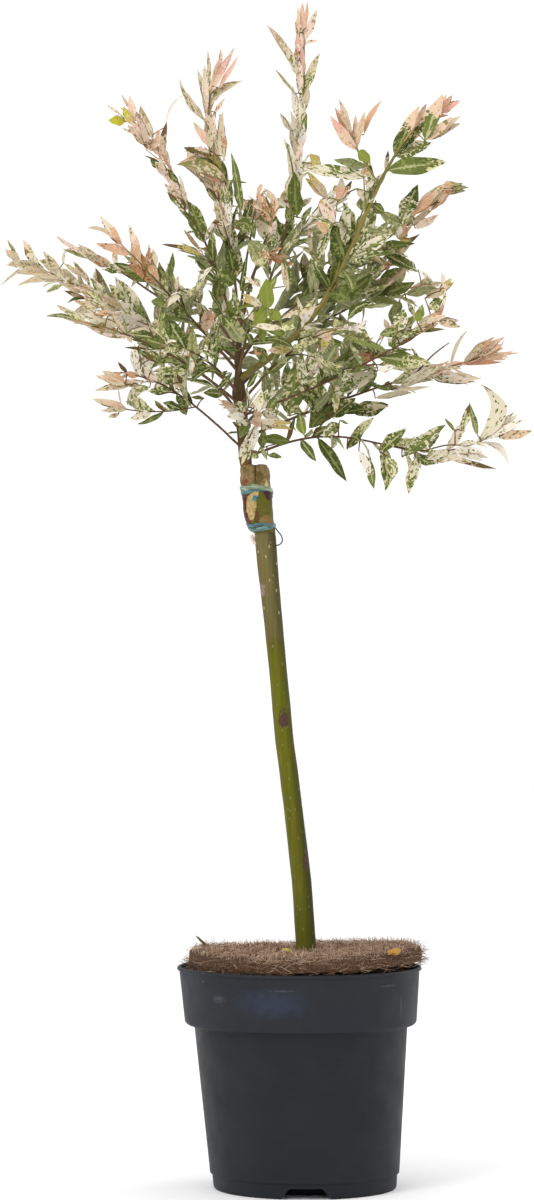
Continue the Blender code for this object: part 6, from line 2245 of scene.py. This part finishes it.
def make_dabs():
    """Wax, callus and scraps of film on the graft."""
    finishes = {
        name: mottled(name, (420.0, 5.0, 0.65), ((0.32, low), (0.68, high)), 0.5, 0.0006)
        for name, (low, high) in DAB_TONES.items()
    }
    for name, (thickness, finish, outline) in DABS.items():
        thick = thickness / 1000.0
        corners = np.array([corner.split(",") for corner in outline.split()], float) / 1000.0
        loop = resample(np.concatenate([corners, corners[:1]])[:, [0, 1, 1]], DAB_SIDES + 1)[:-1, :2]
        for _ in range(2):
            loop = (np.roll(loop, 1, axis=0) + loop * 2 + np.roll(loop, -1, axis=0)) / 4
        middle = loop.mean(axis=0)
        points = []
        for level in DAB_LEVELS:
            for x, z in loop + (middle - loop) * level:
                rise = thick * (1 - (1 - level) ** 3) * (1.0 + 0.5 * grain_at(x, z, 500.0, 1.0))
                points.append((x, front_of(x, z) - rise + 0.0001, z))
        peak, back = len(points), len(points) + 1
        points.append((middle[0], front_of(*middle) - thick, middle[1]))
        points += [(x, min(y + 0.0016, 0.0), z) for x, y, z in points[:DAB_SIDES]]
        faces = ring_quads(len(DAB_LEVELS), DAB_SIDES)
        steps = [(i, (i + 1) % DAB_SIDES) for i in range(DAB_SIDES)]
        faces += [(peak - DAB_SIDES + i, peak - DAB_SIDES + j, peak) for i, j in steps]
        faces += [(i, back + i, back + j, j) for i, j in steps]
        faces.append(tuple(back + i for i in range(DAB_SIDES)))
        made = smooth_mesh(solid(f"dab_{name}", points, faces, finishes[finish]), 60.0)
        settle(made, "tie_film" if finish == "film" else "tan_bark")


BOUGH_BARK = {
    "bough_bark": ((0.3, (72, 50, 32)), (0.5, (98, 74, 46)), (0.7, (120, 100, 64))),
    "bough_bark_olive": ((0.3, (84, 74, 34)), (0.5, (112, 102, 50)), (0.7, (136, 124, 70))),
}


def make_boughs():
    """One mesh of all the bare boughs, with the bark's relief."""
    finishes = {
        name: mottled(name, (700.0, 4.0, 0.6), stops, 0.6, 0.0004)
        for name, stops in BOUGH_BARK.items()
    }
    heap, replaced = Heap(), []
    for name in SHOOTS:
        if SHOOTS[name].bare == 0.0:
            continue
        path = shoot_path(name)[: bare_points(name) + 1]
        stout = STOUTNESS.get(name, 1.0)
        count = max(int(path_length(path) / 0.002), 6)
        path = wander(resample(path, count), name)
        radii = np.linspace(BOUGH_DRAWN_FOOT, BOUGH_DRAWN_TIP, count) * stout
        swell = [1.0 + 0.12 * noise.noise(Vector(point) * 200.0) for point in path]
        points, faces = tube_arrays(path, radii * swell, 10)
        for i, point in enumerate(points):
            points[i] = point + np.array(noise.noise_vector(Vector(point) * 500.0)) * 0.00012
        heap.add(points, faces, "bough_bark_olive" if stout > 1.0 else "bough_bark")
        replaced.append(f"bough_{name}")
    settle(heap.piece("boughs", finishes, 60.0), "shoot_bark", *replaced)


def carry_over():
    """The compost keeps its solid and takes a better material."""
    stops = ((0.3, (26, 18, 13)), (0.6, (62, 46, 34)), (0.8, (98, 78, 60)))
    finish = mottled("compost_crumbs", (330.0, 8.0, 0.7), stops, 0.95, 0.003)
    frame["nodes"]["compost"].material_slots[0].material = finish


# Stage, light and camera

WORLD_STRENGTH = 1.08
FLOOR_REACH = 9.0
LAMP_AIM_HEIGHT = 0.55
# Each lamp: name, place, size and power.
LAMPS = (
    ("key", (-1.5, -2.1, 2.3), 1.3, 34.0),
    ("rim", (1.9, 1.2, 1.7), 1.2, 12.0),
)


def set_stage():
    scene = bpy.context.scene
    scene.view_settings.view_transform = "Standard"
    scene.world = bpy.data.worlds.new("studio")
    scene.world.use_nodes = True
    background = scene.world.node_tree.nodes["Background"]
    background.inputs["Color"].default_value = (1.0, 1.0, 1.0, 1.0)
    background.inputs["Strength"].default_value = WORLD_STRENGTH
    corners = [(-FLOOR_REACH, -FLOOR_REACH, 0.0), (FLOOR_REACH, -FLOOR_REACH, 0.0)]
    corners += [(FLOOR_REACH, FLOOR_REACH, 0.0), (-FLOOR_REACH, FLOOR_REACH, 0.0)]
    paint = plain("floor_paint", (0.93, 0.93, 0.93, 1.0), 0.9, 0.1)
    floor = piece_of("floor", np.array(corners), np.array([(0, 1, 2), (0, 2, 3)]), [paint], smooth=None)
    for name, place, size, power in LAMPS:
        light = bpy.data.lights.new(name, "AREA")
        light.shape = "DISK"
        light.size = size
        light.energy = power
        lamp = bpy.data.objects.new(name, light)
        scene.collection.objects.link(lamp)
        lamp.location = place
        aim = Vector((CAMERA_X, 0.0, LAMP_AIM_HEIGHT)) - Vector(place)
        lamp.rotation_euler = aim.to_track_quat("-Z", "Y").to_euler()
    data = bpy.data.cameras.new("camera")
    data.sensor_fit = "VERTICAL"
    data.angle_y = 2 * math.atan(FRAME_HEIGHT / 2 / FOCAL_PIXELS)
    camera = bpy.data.objects.new("camera", data)
    scene.collection.objects.link(camera)
    camera.location = (CAMERA_X, -CAMERA_DISTANCE, CAMERA_HEIGHT)
    pitch = math.radians(90.0) + math.atan((HORIZON_ROW - FRAME_HEIGHT / 2) / FOCAL_PIXELS)
    camera.rotation_euler = (pitch, 0.0, 0.0)
    scene.camera = camera


def main():
    set_stage()
    tones = {
        name: plain(name, display(*colour, gain=TONE_GAIN), 0.6, 0.15)
        for name, colour in TONES.items()
    }
    make_pot()
    make_mat()
    make_trunk()
    make_scion()
    make_wrap()
    make_ties()
    make_dabs()
    make_boughs()
    carry_over()
    draw_crown(tones)


main()
